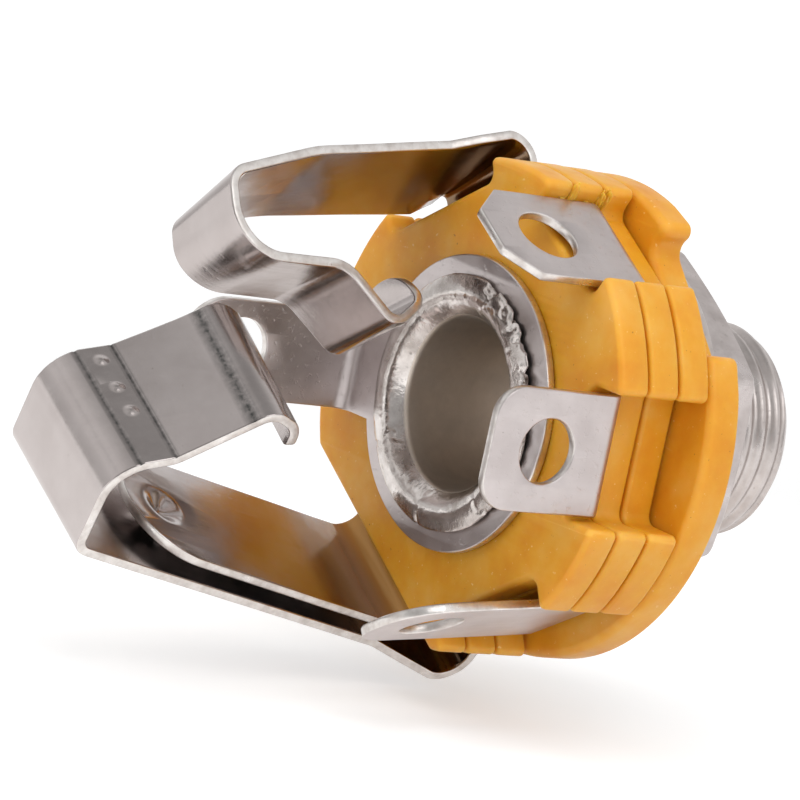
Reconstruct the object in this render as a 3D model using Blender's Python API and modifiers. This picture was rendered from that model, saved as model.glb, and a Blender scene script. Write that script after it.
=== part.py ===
"""An open-frame 6.35 mm stereo jack socket with a normalled tip contact.

Run with: blender --background --python part.py
Metres, +Z up. The bush points along +Y, the origin lies on its axis in the panel seat, which is the front
face of the front insulator. A station is an angle round the axis, seen from behind, from +Z towards -X.
"""

import math

import bmesh
import bpy
from mathutils import Matrix

MM = 0.001

# Fits
SEAT_GAP = 0.03 * MM
RUN_GAP = 0.05 * MM
FLEX_GAP = 0.08 * MM
NOTCH_SIDE_GAP = 0.2 * MM

# Stations of the hexagonal layout, in degrees
RING_STATION = 30.0
SLEEVE_STATION = 90.0
TIP_STATION = 150.0
TIP_LUG_STATION = 210.0
SWITCH_LUG_STATION = 270.0
RING_LUG_STATION = 330.0
KEY_STATION = 315.0

# Strip metal of the contacts
STRIP = 0.4 * MM
LAP = 0.04 * MM
LUG_BEND = 0.45 * MM

# Insulators
WAFER_RADIUS = 10.0 * MM
WAFER_THICKNESS = 1.06 * MM
WAFER_CORNER = 0.3 * MM
WAFER_RIM_GAP = 0.12 * MM
POCKET_INSET = 1.0 * MM
RING_NOTCH_WIDTH = 6.9 * MM
RING_NOTCH_DEPTH = 1.65 * MM
TIP_FLAT_DEPTH = 1.95 * MM
TIP_NOTCH_MARGIN = 0.85 * MM
RIM_INSET = 0.05 * MM
FLANGE_THICKNESS = 1.5 * MM
BOSS_WALL = 1.05 * MM
KEY_WIDTH = 5.6 * MM
KEY_DEPTH = 1.75 * MM
KEY_CORNER = 1.0 * MM

# Bush
BORE_RADIUS = 3.2 * MM
TUBE_WALL = 0.8 * MM
THREAD_WALL = 1.3 * MM
THREAD_LENGTH = 7.6 * MM
NOSE_CHAMFER = 0.35 * MM
COLLAR_STEP = 1.3 * MM
COLLAR_THICKNESS = 0.85 * MM
LIP_ROLL = 0.95 * MM
LIP_HEIGHT = 0.7 * MM
LIP_FLARE = 0.35 * MM

# Panel hardware
WASHER_WIDTH = 3.0 * MM
WASHER_THICKNESS = 0.9 * MM
NUT_FLATS = 12.7 * MM
NUT_THICKNESS = 2.6 * MM
NUT_CHAMFER = 0.15 * MM
NUT_CHAMFER_ANGLE = 18.0
NUT_TURN = -3.0

# Plates of the contacts
SLEEVE_RING_SHOW = 0.95 * MM
PLATE_INSET = 2.7 * MM

# Solder lugs: inset from the wafers' rim, width and length behind the stack
HOLE_RADIUS = 1.3 * MM
HOLE_INSET = 2.75 * MM
LUG_CORNER = 1.3 * MM
SWITCH_LUG_INSET = 1.9 * MM
SWITCH_LUG_WIDTH = 4.9 * MM
SWITCH_LUG_LENGTH = 4.18 * MM
RING_LUG_INSET = 1.15 * MM
RING_LUG_WIDTH = 4.9 * MM
RING_LUG_LENGTH = 3.38 * MM
TIP_LUG_INSET = 1.5 * MM
TIP_LUG_WIDTH = 4.7 * MM
TIP_LUG_LENGTH = 5.08 * MM
TIP_LUG_LEAN = 5.0
SLEEVE_LUG_INSET = 2.45 * MM
SLEEVE_LUG_WIDTH = 4.1 * MM
SLEEVE_LUG_LENGTH = 8.38 * MM

# Ring spring. Reaches count from the rear of the stack, stands and insets from the wafers' rim, and
# clearances and dips from the wall of the bore.
RING_SPRING_WIDTH = 4.3 * MM
RING_ROOT_WIDTH = 5.7 * MM
RING_ROOT_TAPER = 2.6 * MM
RING_FAR_TAPER = 13.0 * MM
RING_TWIST = 14.0
RING_TWIST_RUN = 1.6 * MM
RING_ROOT_INSET = 0.7 * MM
RING_ROOT_STAND = 0.75 * MM
RING_ROOT_BEND = 0.9 * MM
RING_KNEE_REACH = 6.98 * MM
RING_KNEE_INSET = 0.8 * MM
RING_KNEE_BEND = 6.0 * MM
RING_FOLD_REACH = 11.23 * MM
RING_FOLD_INSET = 2.15 * MM
RING_FOLD_BEND = 0.9 * MM
RING_HEEL_BEND = 2.0 * MM
RING_RETURN_CLEARANCE = 1.35 * MM
RING_RETURN_LENGTH = 5.0 * MM
RING_RETURN_BEND = 1.6 * MM
RING_CONTACT_REACH = 4.08 * MM
RING_CONTACT_DIP = 0.95 * MM
RING_CONTACT_BEND = 0.7 * MM
RING_END_REACH = 2.63 * MM
RING_END_RISE = 1.15 * MM
RING_END_BEND = 0.9 * MM
RING_END_LENGTH = 1.5 * MM
RING_END_LEAN = 0.15 * MM

# Tip spring, with the same starting points
TIP_SPRING_WIDTH = 6.3 * MM
TIP_ROOT_WIDTH = 8.3 * MM
TIP_ROOT_TAPER = 2.8 * MM
TIP_ROOT_FLARE = 1.2 * MM
TIP_ROOT_STAND = 1.65 * MM
TIP_ROOT_BEND = 1.2 * MM
TIP_FOLD_REACH = 15.78 * MM
TIP_FOLD_INSET = 3.45 * MM
TIP_FOLD_BEND = 0.7 * MM
TIP_HEEL_DEPTH = 4.15 * MM
TIP_HEEL_LEAN = 0.45 * MM
TIP_HEEL_BEND = 1.8 * MM
TIP_STEP_LENGTH = 2.4 * MM
TIP_STEP_DROP = 0.8 * MM
TIP_STEP_BEND = 2.5 * MM
TIP_CONTACT_LENGTH = 3.15 * MM
TIP_CONTACT_DROP = 2.8 * MM
TIP_CONTACT_BEND = 0.7 * MM
TIP_CURL_LENGTH = 1.3 * MM
TIP_CURL_RISE = 0.65 * MM
TIP_CURL_BEND = 0.5 * MM
TIP_CURL_END = 0.95 * MM
TIP_CURL_LEAN = 0.15 * MM

# Switch leaf
LEAF_WIDTH = 5.6 * MM
LEAF_ROOT_INSET = 1.4 * MM
LEAF_STAND = 0.05 * MM
LEAF_BEND = 1.0 * MM
LEAF_REACH = 12.38 * MM
LEAF_SLOPE = 14.2
DIMPLE_RADIUS = 1.1 * MM
DIMPLE_HEIGHT = 0.42 * MM
DIMPLE_INSET = 2.0 * MM

TURN_STEPS = 48
BEND_STEP = 15.0

# Places along the axis, worked out from the front of the stack to its rear
LAYER = STRIP + 2 * SEAT_GAP
FLANGE_REAR = -FLANGE_THICKNESS
TIP_PLANE = FLANGE_REAR - LAYER / 2
FRONT_WAFER = TIP_PLANE - LAYER / 2 - WAFER_THICKNESS / 2
RING_PLANE = FRONT_WAFER - WAFER_THICKNESS / 2 - LAYER / 2
MIDDLE_WAFER = RING_PLANE - LAYER / 2 - WAFER_THICKNESS / 2
SWITCH_PLANE = MIDDLE_WAFER - WAFER_THICKNESS / 2 - LAYER / 2
REAR_WAFER = SWITCH_PLANE - LAYER / 2 - WAFER_THICKNESS / 2
SLEEVE_PLANE = REAR_WAFER - WAFER_THICKNESS / 2 - LAYER / 2
STACK_REAR = SLEEVE_PLANE - LAYER / 2

# Radii and distances from the axis, worked out from the bore and from the wafers' rim
TUBE_RADIUS = BORE_RADIUS + TUBE_WALL
THREAD_RADIUS = BORE_RADIUS + THREAD_WALL
COLLAR_RADIUS = THREAD_RADIUS + COLLAR_STEP
LIP_RADIUS = TUBE_RADIUS + LIP_ROLL
SLEEVE_RING_RADIUS = LIP_RADIUS + SLEEVE_RING_SHOW
BOSS_BORE = TUBE_RADIUS + SEAT_GAP
BOSS_RADIUS = BOSS_BORE + BOSS_WALL
STACK_BORE = BOSS_RADIUS + RUN_GAP
FLANGE_RADIUS = WAFER_RADIUS - RIM_INSET
PLATE_RADIUS = WAFER_RADIUS - PLATE_INSET
POCKET_RADIUS = WAFER_RADIUS - POCKET_INSET
POCKET_DEPTH = LAYER - WAFER_RIM_GAP
SWITCH_LUG_OFFSET = WAFER_RADIUS - SWITCH_LUG_INSET
RING_LUG_OFFSET = WAFER_RADIUS - RING_LUG_INSET
TIP_LUG_OFFSET = WAFER_RADIUS - TIP_LUG_INSET
SLEEVE_LUG_OFFSET = WAFER_RADIUS - SLEEVE_LUG_INSET
RING_ROOT = WAFER_RADIUS - RING_ROOT_INSET
TIP_ROOT = FLANGE_RADIUS + RUN_GAP
LEAF_ROOT = WAFER_RADIUS - LEAF_ROOT_INSET
LEAF_OFFSET = WAFER_RADIUS + LEAF_STAND
WASHER_BORE = THREAD_RADIUS + 2 * RUN_GAP
WASHER_RADIUS = WASHER_BORE + WASHER_WIDTH
NUT_BORE = THREAD_RADIUS + RUN_GAP
WASHER_FRONT = SEAT_GAP + WASHER_THICKNESS
NUT_REAR = WASHER_FRONT + SEAT_GAP

# A plan outline is drawn in X and Y and stands across the axis. A side outline is drawn along and away
# from the axis. Each becomes a solid by its extrusion.
ACROSS_AXIS = Matrix(((1, 0, 0, 0), (0, 0, 1, 0), (0, 1, 0, 0), (0, 0, 0, 1)))
ALONG_AXIS = Matrix(((0, 0, 1, 0), (1, 0, 0, 0), (0, 1, 0, 0), (0, 0, 0, 1)))
TURNED_AXIS = Matrix.Rotation(math.radians(-90), 4, "X")


def clear_scene():
    for obj in list(bpy.data.objects):
        bpy.data.objects.remove(obj, do_unlink=True)


def new_collection(name, hidden):
    made = bpy.data.collections.new(name)
    bpy.context.scene.collection.children.link(made)
    made.hide_render = hidden
    return made


def material(name, colour, metallic, roughness):
    made = bpy.data.materials.new(name)
    made.use_nodes = True
    shader = made.node_tree.nodes["Principled BSDF"]
    shader.inputs["Base Color"].default_value = (*colour, 1)
    shader.inputs["Metallic"].default_value = metallic
    shader.inputs["Roughness"].default_value = roughness
    return made


def station(angle):
    """The turn about the axis that brings +Z to a station."""
    return Matrix.Rotation(math.radians(-angle), 4, "Y")


def polar(radius, angle):
    """A point of a plan outline at a station, as X and Z."""
    turn = math.radians(angle)
    return -radius * math.sin(turn), radius * math.cos(turn)


def arc(centre, radius, start, end, steps):
    """Points of an arc, with angles in degrees from the first axis towards the second."""
    made = []
    for i in range(steps + 1):
        turn = math.radians(start + (end - start) * i / steps)
        made.append((centre[0] + radius * math.cos(turn), centre[1] + radius * math.sin(turn)))
    return made


def circle(radius, centre=(0.0, 0.0), steps=TURN_STEPS):
    return arc(centre, radius, 0, 360, steps)[:-1]


def outline_mesh(name, outlines, thickness):
    """A closed solid from flat outlines, the first round the rest, extruded to both sides."""
    curve = bpy.data.curves.new(name, "CURVE")
    curve.dimensions = "2D"
    curve.fill_mode = "BOTH"
    curve.extrude = thickness / 2
    for points in outlines:
        spline = curve.splines.new("POLY")
        spline.points.add(len(points) - 1)
        for point, (x, y) in zip(spline.points, points):
            point.co = (x, y, 0, 1)
        spline.use_cyclic_u = True
    holder = bpy.data.objects.new(name, curve)
    cutters.objects.link(holder)
    bpy.context.view_layer.update()
    graph = bpy.context.evaluated_depsgraph_get()
    mesh = bpy.data.meshes.new_from_object(holder.evaluated_get(graph))
    bpy.data.objects.remove(holder, do_unlink=True)
    weld = bmesh.new()
    weld.from_mesh(mesh)
    bmesh.ops.remove_doubles(weld, verts=weld.verts, dist=0.0005 * MM)
    bmesh.ops.recalc_face_normals(weld, faces=weld.faces)
    weld.to_mesh(mesh)
    weld.free()
    return mesh


def add(name, mesh, place, finish=None):
    """A part where a finish is given, and otherwise a cutter or a piece that a part takes in."""
    obj = bpy.data.objects.new(name, mesh)
    obj.matrix_world = place
    if finish:
        mesh.materials.clear()
        mesh.materials.append(finish)
        parts.objects.link(obj)
    else:
        obj.hide_render = True
        obj.display_type = "WIRE"
        cutters.objects.link(obj)
    return obj


def combine(obj, other, operation):
    boolean = obj.modifiers.new(operation.title() + " " + other.name, "BOOLEAN")
    boolean.operation = operation
    boolean.solver = "EXACT"
    boolean.object = other


def turned(name, profile, finish, place=TURNED_AXIS):
    """A turned part: the profile holds radius and place along the axis, front first on its outer side."""
    mesh = bpy.data.meshes.new(name)
    count = len(profile)
    edges = [(i, (i + 1) % count) for i in range(count) if profile[i][0] + profile[(i + 1) % count][0] > 0]
    mesh.from_pydata([(radius, 0, along) for radius, along in profile], edges, [])
    obj = add(name, mesh, place, finish)
    screw = obj.modifiers.new("Turn", "SCREW")
    screw.steps = TURN_STEPS
    screw.render_steps = TURN_STEPS
    screw.use_merge_vertices = True
    screw.merge_threshold = 0.001 * MM
    screw.use_smooth_shade = False
    return obj


def rounded_path(corners):
    """Points along a bent centre line from (along, out, bend radius) corners, each bend as an arc."""
    points = [corners[0][:2]]
    for before, corner, after in zip(corners, corners[1:], corners[2:]):
        into = direction(before, corner)
        out = direction(corner, after)
        turn = math.atan2(into[0] * out[1] - into[1] * out[0], into[0] * out[0] + into[1] * out[1])
        cut = corner[2] * math.tan(abs(turn) / 2)
        side = math.copysign(1, turn)
        centre = (
            corner[0] - into[0] * cut - side * into[1] * corner[2],
            corner[1] - into[1] * cut + side * into[0] * corner[2],
        )
        start = math.degrees(math.atan2(-side * into[0], side * into[1]))
        steps = max(2, math.ceil(math.degrees(abs(turn)) / BEND_STEP))
        points += arc(centre, corner[2], start, start + math.degrees(turn), steps)
    points.append(corners[-1][:2])
    return points


def rounded_loop(points, radius, sharpest=30.0):
    """A closed outline with its sharp corners rounded as far as their sides allow."""
    made = []
    count = len(points)
    for i, corner in enumerate(points):
        before, after = points[i - 1], points[(i + 1) % count]
        turn = math.degrees(bend_at(before, corner, after))
        room = 0.45 * min(math.dist(before, corner), math.dist(corner, after))
        if turn < sharpest:
            made.append(corner)
            continue
        bend = min(radius, room / math.tan(math.radians(turn) / 2))
        made += rounded_path([(*before, 0), (*corner, bend), (*after, 0)])[1:-1]
    return made


def direction(start, end):
    length = math.dist(start[:2], end[:2])
    return (end[0] - start[0]) / length, (end[1] - start[1]) / length


def strip_outline(corners, thickness):
    """The side outline of a strip bent along its centre line."""
    points = rounded_path(corners)
    left, right = [], []
    for i, point in enumerate(points):
        before = points[max(i - 1, 0)]
        after = points[min(i + 1, len(points) - 1)]
        ahead = direction(before, after)
        half = thickness / 2
        if 0 < i < len(points) - 1:
            half /= max(0.5, math.cos(bend_at(before, point, after) / 2))
        left.append((point[0] - ahead[1] * half, point[1] + ahead[0] * half))
        right.append((point[0] + ahead[1] * half, point[1] - ahead[0] * half))
    return left + right[::-1]


def bend_at(before, point, after):
    into = direction(before, point)
    out = direction(point, after)
    return math.acos(max(-1, min(1, into[0] * out[0] + into[1] * out[1])))


def notched_disc(radius, notches, margin=7.5):
    """A disc's outline with parallel-sided notches, given as (station, width, floor) in rising order."""
    points = []
    for i, (angle, width, floor) in enumerate(notches):
        half = width / 2
        wall = math.degrees(math.asin(half / radius))
        for side in (-1, 1):
            foot = (math.hypot(floor, half), angle + side * math.degrees(math.atan2(half, floor)))
            corners = [polar(radius, angle + side * wall), polar(*foot)]
            if math.dist(*corners) < RUN_GAP:
                corners = corners[1:]
            points += corners if side < 0 else corners[::-1]
        following = notches[(i + 1) % len(notches)]
        start = angle + wall
        end = following[0] - math.degrees(math.asin(following[1] / 2 / radius))
        end += 360 if end < start else 0
        steps = max(1, round((end - start) / margin))
        points += [polar(radius, start + (end - start) * k / steps) for k in range(1, steps)]
    return points


def lug_outline(width, base, tip, corner, chamfered):
    """A lug's plan along and across the axis, from its base to a tip with rounded or cut corners."""
    half = width / 2
    if chamfered:
        end = [(tip + corner, half), (tip, half - corner), (tip, corner - half), (tip + corner, -half)]
    else:
        end = arc((tip + corner, half - corner), corner, 90, 180, 6)
        end += arc((tip + corner, corner - half), corner, 180, 270, 6)
    return [(base, half)] + end + [(base, -half)]


def add_lug(plate, angle, plane, offset, width, length, corner, tilt=0.0, chamfered=False):
    """Bends a solder lug out of a plate: a bend that laps both, the flat lug, and its hole."""
    name = plate.name + "_lug"
    base = plane - LUG_BEND - STRIP
    tip = STACK_REAR - length
    bend = [(plane, offset - LUG_BEND - 4 * STRIP, 0), (plane, offset, LUG_BEND), (base - 2 * STRIP, offset, 0)]
    turn = add(
        name + "_bend",
        outline_mesh(name + "_bend", [strip_outline(bend, STRIP - LAP)], width - LAP),
        station(angle) @ ALONG_AXIS,
    )
    flat = outline_mesh(
        name,
        [
            lug_outline(width, base, tip, corner, chamfered),
            circle(HOLE_RADIUS, (tip + HOLE_INSET, 0), 24),
        ],
        STRIP,
    )
    # The plan lies along and across the axis, so it is laid on its back and lifted out to the offset.
    lay = Matrix(((0, 1, 0, 0), (1, 0, 0, 0), (0, 0, -1, 0), (0, 0, 0, 1)))
    hinge = Matrix.Translation((0, base, offset))
    lean = hinge @ Matrix.Rotation(math.radians(-tilt), 4, "X") @ hinge.inverted()
    lug = add(name, flat, station(angle) @ lean @ Matrix.Translation((0, 0, offset)) @ lay)
    combine(plate, turn, "UNION")
    combine(plate, lug, "UNION")


def add_plate(name, plane, bore, radius, tongues, finish):
    """A contact's ring plate with tongues, given as (station, width at the ring, width at the end, reach)."""
    outer = circle(radius)
    plate = add(
        name,
        outline_mesh(name, [outer, circle(bore)], STRIP),
        Matrix.Translation((0, plane, 0)) @ ACROSS_AXIS,
        finish,
    )
    for index, (angle, near, far, reach) in enumerate(tongues):
        start = bore + STRIP
        shape = [(-near / 2, start), (near / 2, start), (far / 2, reach), (-far / 2, reach)]
        tongue = add(
            f"{name}_tongue_{index}",
            outline_mesh(f"{name}_tongue_{index}", [shape], STRIP - LAP),
            station(angle) @ Matrix.Translation((0, plane, 0)) @ ACROSS_AXIS,
        )
        combine(plate, tongue, "UNION")
    return plate


def spring(name, angle, plane, root, corners, width, finish, root_width=0.0, tapers=(0.0, 0.0), twist=0.0):
    """A contact spring bent from strip, with its origin on its hinge line at the root of its plate."""
    # Each corner holds the reach behind the stack, the distance from the axis and the bend radius.
    path = [(plane, root + FLEX_GAP, 0)] + [(STACK_REAR - reach, out, bend) for reach, out, bend in corners]
    local = [(along - plane, out - root, bend) for along, out, bend in path]
    hinge = station(angle) @ Matrix.Translation((0, plane, root))
    stock = max(width, root_width)
    made = add(name, strip_mesh(name, local, stock, twist, width / 2), hinge @ ALONG_AXIS, finish)
    if root_width > width:
        trim_sides(made, angle, plane, width, root_width, tapers)
    return made


def strip_mesh(name, corners, width, twist, near):
    """A bent strip as a solid. A twist leans its arm about the near edge, with none at the root and the return."""
    outline = strip_outline(corners, STRIP)
    count = len(outline) // 2
    slope = math.tan(math.radians(twist))
    verts, faces = [], [(0, 1, 2, 3)]
    for i in range(count):
        top, under = outline[i], outline[-1 - i]
        middle = ((top[0] + under[0]) / 2, (top[1] + under[1]) / 2)
        lean = slope * twist_share(middle, corners) if twist else 0.0
        for (along, out), side in ((top, -1), (top, 1), (under, 1), (under, -1)):
            across = side * width / 2
            verts.append((along, out + (across - near) * lean, across))
        if i:
            first = 4 * i
            faces += [(first + k - 4, first + (k + 1) % 4 - 4, first + (k + 1) % 4, first + k) for k in range(4)]
    faces.append(tuple(4 * count - 1 - k for k in range(4)))
    mesh = bpy.data.meshes.new(name)
    mesh.from_pydata(verts, [], faces)
    made = bmesh.new()
    made.from_mesh(mesh)
    bmesh.ops.triangulate(made, faces=made.faces)
    bmesh.ops.recalc_face_normals(made, faces=made.faces)
    made.to_mesh(mesh)
    made.free()
    return mesh


def twist_share(point, corners):
    """How much of the twist a point of the centre line takes, between the root, the knee and the return."""
    knee, back = corners[2][1], corners[4][1]
    rise = (point[1] - back) / (knee - back)
    return min(1, max(0, -point[0] / RING_TWIST_RUN)) * min(1, max(0, rise))


def trim_sides(obj, angle, plane, width, root_width, tapers):
    """Narrows a spring behind its wide root, with one slanted cutter for each side."""
    far = plane - 4 * THREAD_LENGTH
    out = root_width
    for side, taper in zip((-1, 1), tapers):
        shape = [
            (side * width / 2, far),
            (side * width / 2, plane - STRIP - taper),
            (side * root_width / 2, plane - STRIP),
            (side * out, plane - STRIP),
            (side * out, far),
        ]
        name = f"{obj.name}_side_{'left' if side < 0 else 'right'}"
        cutter = outline_mesh(name, [shape], 8 * WAFER_RADIUS)
        combine(obj, add(name, cutter, station(angle)), "DIFFERENCE")


def build_bush(finish):
    lip = STACK_REAR - LIP_HEIGHT
    crest = (TUBE_RADIUS + LIP_RADIUS) / 2
    front = THREAD_LENGTH
    collar_rear = -COLLAR_THICKNESS - SEAT_GAP
    outer = [
        (THREAD_RADIUS - NOSE_CHAMFER, front),
        (THREAD_RADIUS, front - NOSE_CHAMFER),
        (THREAD_RADIUS, -SEAT_GAP),
        (COLLAR_RADIUS, -SEAT_GAP),
        (COLLAR_RADIUS, collar_rear),
        (TUBE_RADIUS, collar_rear),
        (TUBE_RADIUS, STACK_REAR),
        (LIP_RADIUS, STACK_REAR),
        (LIP_RADIUS, STACK_REAR - LIP_HEIGHT / 3),
        ((LIP_RADIUS + crest) / 2, lip + LIP_HEIGHT / 10),
        (crest, lip),
        ((BORE_RADIUS + LIP_FLARE + crest) / 2, lip + LIP_HEIGHT / 8),
        (BORE_RADIUS + LIP_FLARE, lip + LIP_HEIGHT / 2.5),
    ]
    inner = [
        (BORE_RADIUS, lip + LIP_HEIGHT),
        (BORE_RADIUS, front - NOSE_CHAMFER),
        (BORE_RADIUS + NOSE_CHAMFER, front),
    ]
    return turned("threaded_bush", outer + inner, finish)


def build_insulators(finish):
    inner = LUG_BEND + RUN_GAP
    flat = WAFER_RADIUS - TIP_FLAT_DEPTH
    notches = [
        (RING_STATION, RING_NOTCH_WIDTH, WAFER_RADIUS - RING_NOTCH_DEPTH),
        (TIP_STATION, 2 * math.sqrt(WAFER_RADIUS**2 - flat**2), flat),
        (TIP_LUG_STATION, TIP_LUG_WIDTH + 2 * TIP_NOTCH_MARGIN, TIP_LUG_OFFSET - inner),
        (SWITCH_LUG_STATION, SWITCH_LUG_WIDTH + 2 * NOTCH_SIDE_GAP, SWITCH_LUG_OFFSET - inner),
        (RING_LUG_STATION, RING_LUG_WIDTH + 2 * NOTCH_SIDE_GAP, RING_LUG_OFFSET - inner),
    ]
    shape = rounded_loop(notched_disc(WAFER_RADIUS, notches), WAFER_CORNER)
    places = {"front_wafer": FRONT_WAFER, "middle_wafer": MIDDLE_WAFER, "rear_wafer": REAR_WAFER}
    for name, place in places.items():
        mesh = outline_mesh(name, [shape, circle(STACK_BORE)], WAFER_THICKNESS + POCKET_DEPTH)
        wafer = add(name, mesh, Matrix.Translation((0, place + POCKET_DEPTH / 2, 0)) @ ACROSS_AXIS, finish)
        # The rim stands forward of a pocket that holds the contact in front of the wafer.
        floor = place + WAFER_THICKNESS / 2
        pocket = turned(name + "_pocket", tube_core(POCKET_RADIUS, floor + LAYER, floor), None)
        combine(wafer, pocket, "DIFFERENCE")
        if place == FRONT_WAFER:
            cut_channel(wafer, floor)
    key = [(KEY_STATION, KEY_WIDTH, FLANGE_RADIUS - KEY_DEPTH)]
    rim = rounded_loop(notched_disc(FLANGE_RADIUS, key, 10.0), KEY_CORNER)
    flange = add(
        "front_insulator",
        outline_mesh("front_insulator", [rim], FLANGE_THICKNESS),
        Matrix.Translation((0, FLANGE_REAR / 2, 0)) @ ACROSS_AXIS,
        finish,
    )
    boss_rear = REAR_WAFER - WAFER_THICKNESS / 2
    boss_root = FLANGE_REAR / 2
    boss = turned(
        "insulator_boss",
        [(BOSS_RADIUS, boss_root), (BOSS_RADIUS, boss_rear), (BOSS_BORE / 2, boss_rear), (BOSS_BORE / 2, boss_root)],
        None,
    )
    past = FLANGE_THICKNESS
    bore = turned("insulator_bore", tube_core(BOSS_BORE, past, boss_rear - past), None)
    recess = turned(
        "collar_recess", tube_core(COLLAR_RADIUS + SEAT_GAP, past, -COLLAR_THICKNESS - 2 * SEAT_GAP), None
    )
    combine(flange, boss, "UNION")
    combine(flange, bore, "DIFFERENCE")
    combine(flange, recess, "DIFFERENCE")


def cut_channel(wafer, floor):
    """Opens a wafer's rim for the broad tongue of the tip contact."""
    half = TIP_ROOT_WIDTH / 2 + TIP_ROOT_FLARE + NOTCH_SIDE_GAP
    shape = [(-half, BOSS_RADIUS), (half, BOSS_RADIUS), (half, WAFER_RADIUS), (-half, WAFER_RADIUS)]
    channel = outline_mesh("tip_channel", [shape], LAYER)
    place = station(TIP_STATION) @ Matrix.Translation((0, floor + LAYER / 2, 0)) @ ACROSS_AXIS
    combine(wafer, add("tip_channel", channel, place), "DIFFERENCE")


def tube_core(radius, front, rear):
    """The profile of a plain round cutter."""
    return [(0, front), (radius, front), (radius, rear), (0, rear)]


def build_contacts(finish):
    sleeve = add_plate(
        "sleeve_terminal",
        SLEEVE_PLANE,
        TUBE_RADIUS + SEAT_GAP,
        SLEEVE_RING_RADIUS,
        [(SLEEVE_STATION, SLEEVE_LUG_WIDTH, SLEEVE_LUG_WIDTH, SLEEVE_LUG_OFFSET - LUG_BEND)],
        finish,
    )
    add_lug(
        sleeve,
        SLEEVE_STATION,
        SLEEVE_PLANE,
        SLEEVE_LUG_OFFSET,
        SLEEVE_LUG_WIDTH,
        SLEEVE_LUG_LENGTH,
        SLEEVE_LUG_WIDTH * 0.48,
    )
    switch = add_plate(
        "switch_terminal",
        SWITCH_PLANE,
        STACK_BORE,
        PLATE_RADIUS,
        [
            (SWITCH_LUG_STATION, SWITCH_LUG_WIDTH, SWITCH_LUG_WIDTH, SWITCH_LUG_OFFSET - LUG_BEND),
            (TIP_STATION, LEAF_WIDTH, LEAF_WIDTH, LEAF_ROOT),
        ],
        finish,
    )
    add_lug(
        switch, SWITCH_LUG_STATION, SWITCH_PLANE, SWITCH_LUG_OFFSET, SWITCH_LUG_WIDTH, SWITCH_LUG_LENGTH, LUG_CORNER
    )
    ring = add_plate(
        "ring_terminal",
        RING_PLANE,
        STACK_BORE,
        PLATE_RADIUS,
        [
            (RING_LUG_STATION, RING_LUG_WIDTH, RING_LUG_WIDTH, RING_LUG_OFFSET - LUG_BEND),
            (RING_STATION, RING_ROOT_WIDTH, RING_ROOT_WIDTH, RING_ROOT),
        ],
        finish,
    )
    add_lug(
        ring,
        RING_LUG_STATION,
        RING_PLANE,
        RING_LUG_OFFSET,
        RING_LUG_WIDTH,
        RING_LUG_LENGTH,
        LUG_CORNER,
        chamfered=True,
    )
    tip = add_plate(
        "tip_terminal",
        TIP_PLANE,
        STACK_BORE,
        PLATE_RADIUS,
        [
            (TIP_LUG_STATION, TIP_LUG_WIDTH, TIP_LUG_WIDTH, TIP_LUG_OFFSET - LUG_BEND),
            (TIP_STATION, TIP_ROOT_WIDTH + 2 * TIP_ROOT_FLARE, TIP_ROOT_WIDTH, TIP_ROOT),
        ],
        finish,
    )
    add_lug(
        tip,
        TIP_LUG_STATION,
        TIP_PLANE,
        TIP_LUG_OFFSET,
        TIP_LUG_WIDTH,
        TIP_LUG_LENGTH,
        TIP_LUG_WIDTH * 0.45,
        tilt=TIP_LUG_LEAN,
    )


def build_springs(finish):
    ring = spring(
        "ring_spring",
        RING_STATION,
        RING_PLANE,
        RING_ROOT,
        ring_corners(),
        RING_SPRING_WIDTH,
        finish,
        RING_ROOT_WIDTH,
        (RING_FAR_TAPER, RING_ROOT_TAPER),
        RING_TWIST,
    )
    round_end(ring)
    spring(
        "tip_spring",
        TIP_STATION,
        TIP_PLANE,
        TIP_ROOT,
        tip_corners(),
        TIP_SPRING_WIDTH,
        finish,
        TIP_ROOT_WIDTH,
        (TIP_ROOT_TAPER, TIP_ROOT_TAPER),
    )
    build_leaf(finish)


def ring_corners():
    """The ring spring's bends: root, knee, fold, return, the V that meets the plug, and its raised end."""
    back = BORE_RADIUS + RING_RETURN_CLEARANCE
    dip = BORE_RADIUS - RING_CONTACT_DIP
    rise = dip + RING_END_RISE
    return [
        (STACK_REAR - RING_PLANE, WAFER_RADIUS + RING_ROOT_STAND, RING_ROOT_BEND),
        (RING_KNEE_REACH, WAFER_RADIUS - RING_KNEE_INSET, RING_KNEE_BEND),
        (RING_FOLD_REACH, WAFER_RADIUS - RING_FOLD_INSET, RING_FOLD_BEND),
        (RING_FOLD_REACH, back, RING_HEEL_BEND),
        (RING_FOLD_REACH - RING_RETURN_LENGTH, back, RING_RETURN_BEND),
        (RING_CONTACT_REACH, dip, RING_CONTACT_BEND),
        (RING_END_REACH, rise, RING_END_BEND),
        (RING_END_REACH + RING_END_LEAN, rise + RING_END_LENGTH, 0),
    ]


def round_end(obj):
    """Rounds the raised end of the ring spring, seen along the axis."""
    top = BORE_RADIUS - RING_CONTACT_DIP + RING_END_RISE + RING_END_LENGTH
    half = RING_SPRING_WIDTH / 2
    low = top - half
    arch = arc((0, low), half + RUN_GAP, 180, 0, 12)
    shape = [(-2 * half, low)] + arch + [(2 * half, low), (2 * half, top + half), (-2 * half, top + half)]
    cutter = outline_mesh("ring_end_round", [shape], 2 * STRIP + 2 * RING_END_LEAN)
    place = station(RING_STATION) @ Matrix.Translation((0, STACK_REAR - RING_END_REACH, 0)) @ ACROSS_AXIS
    combine(obj, add("ring_end_round", cutter, place), "DIFFERENCE")


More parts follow.
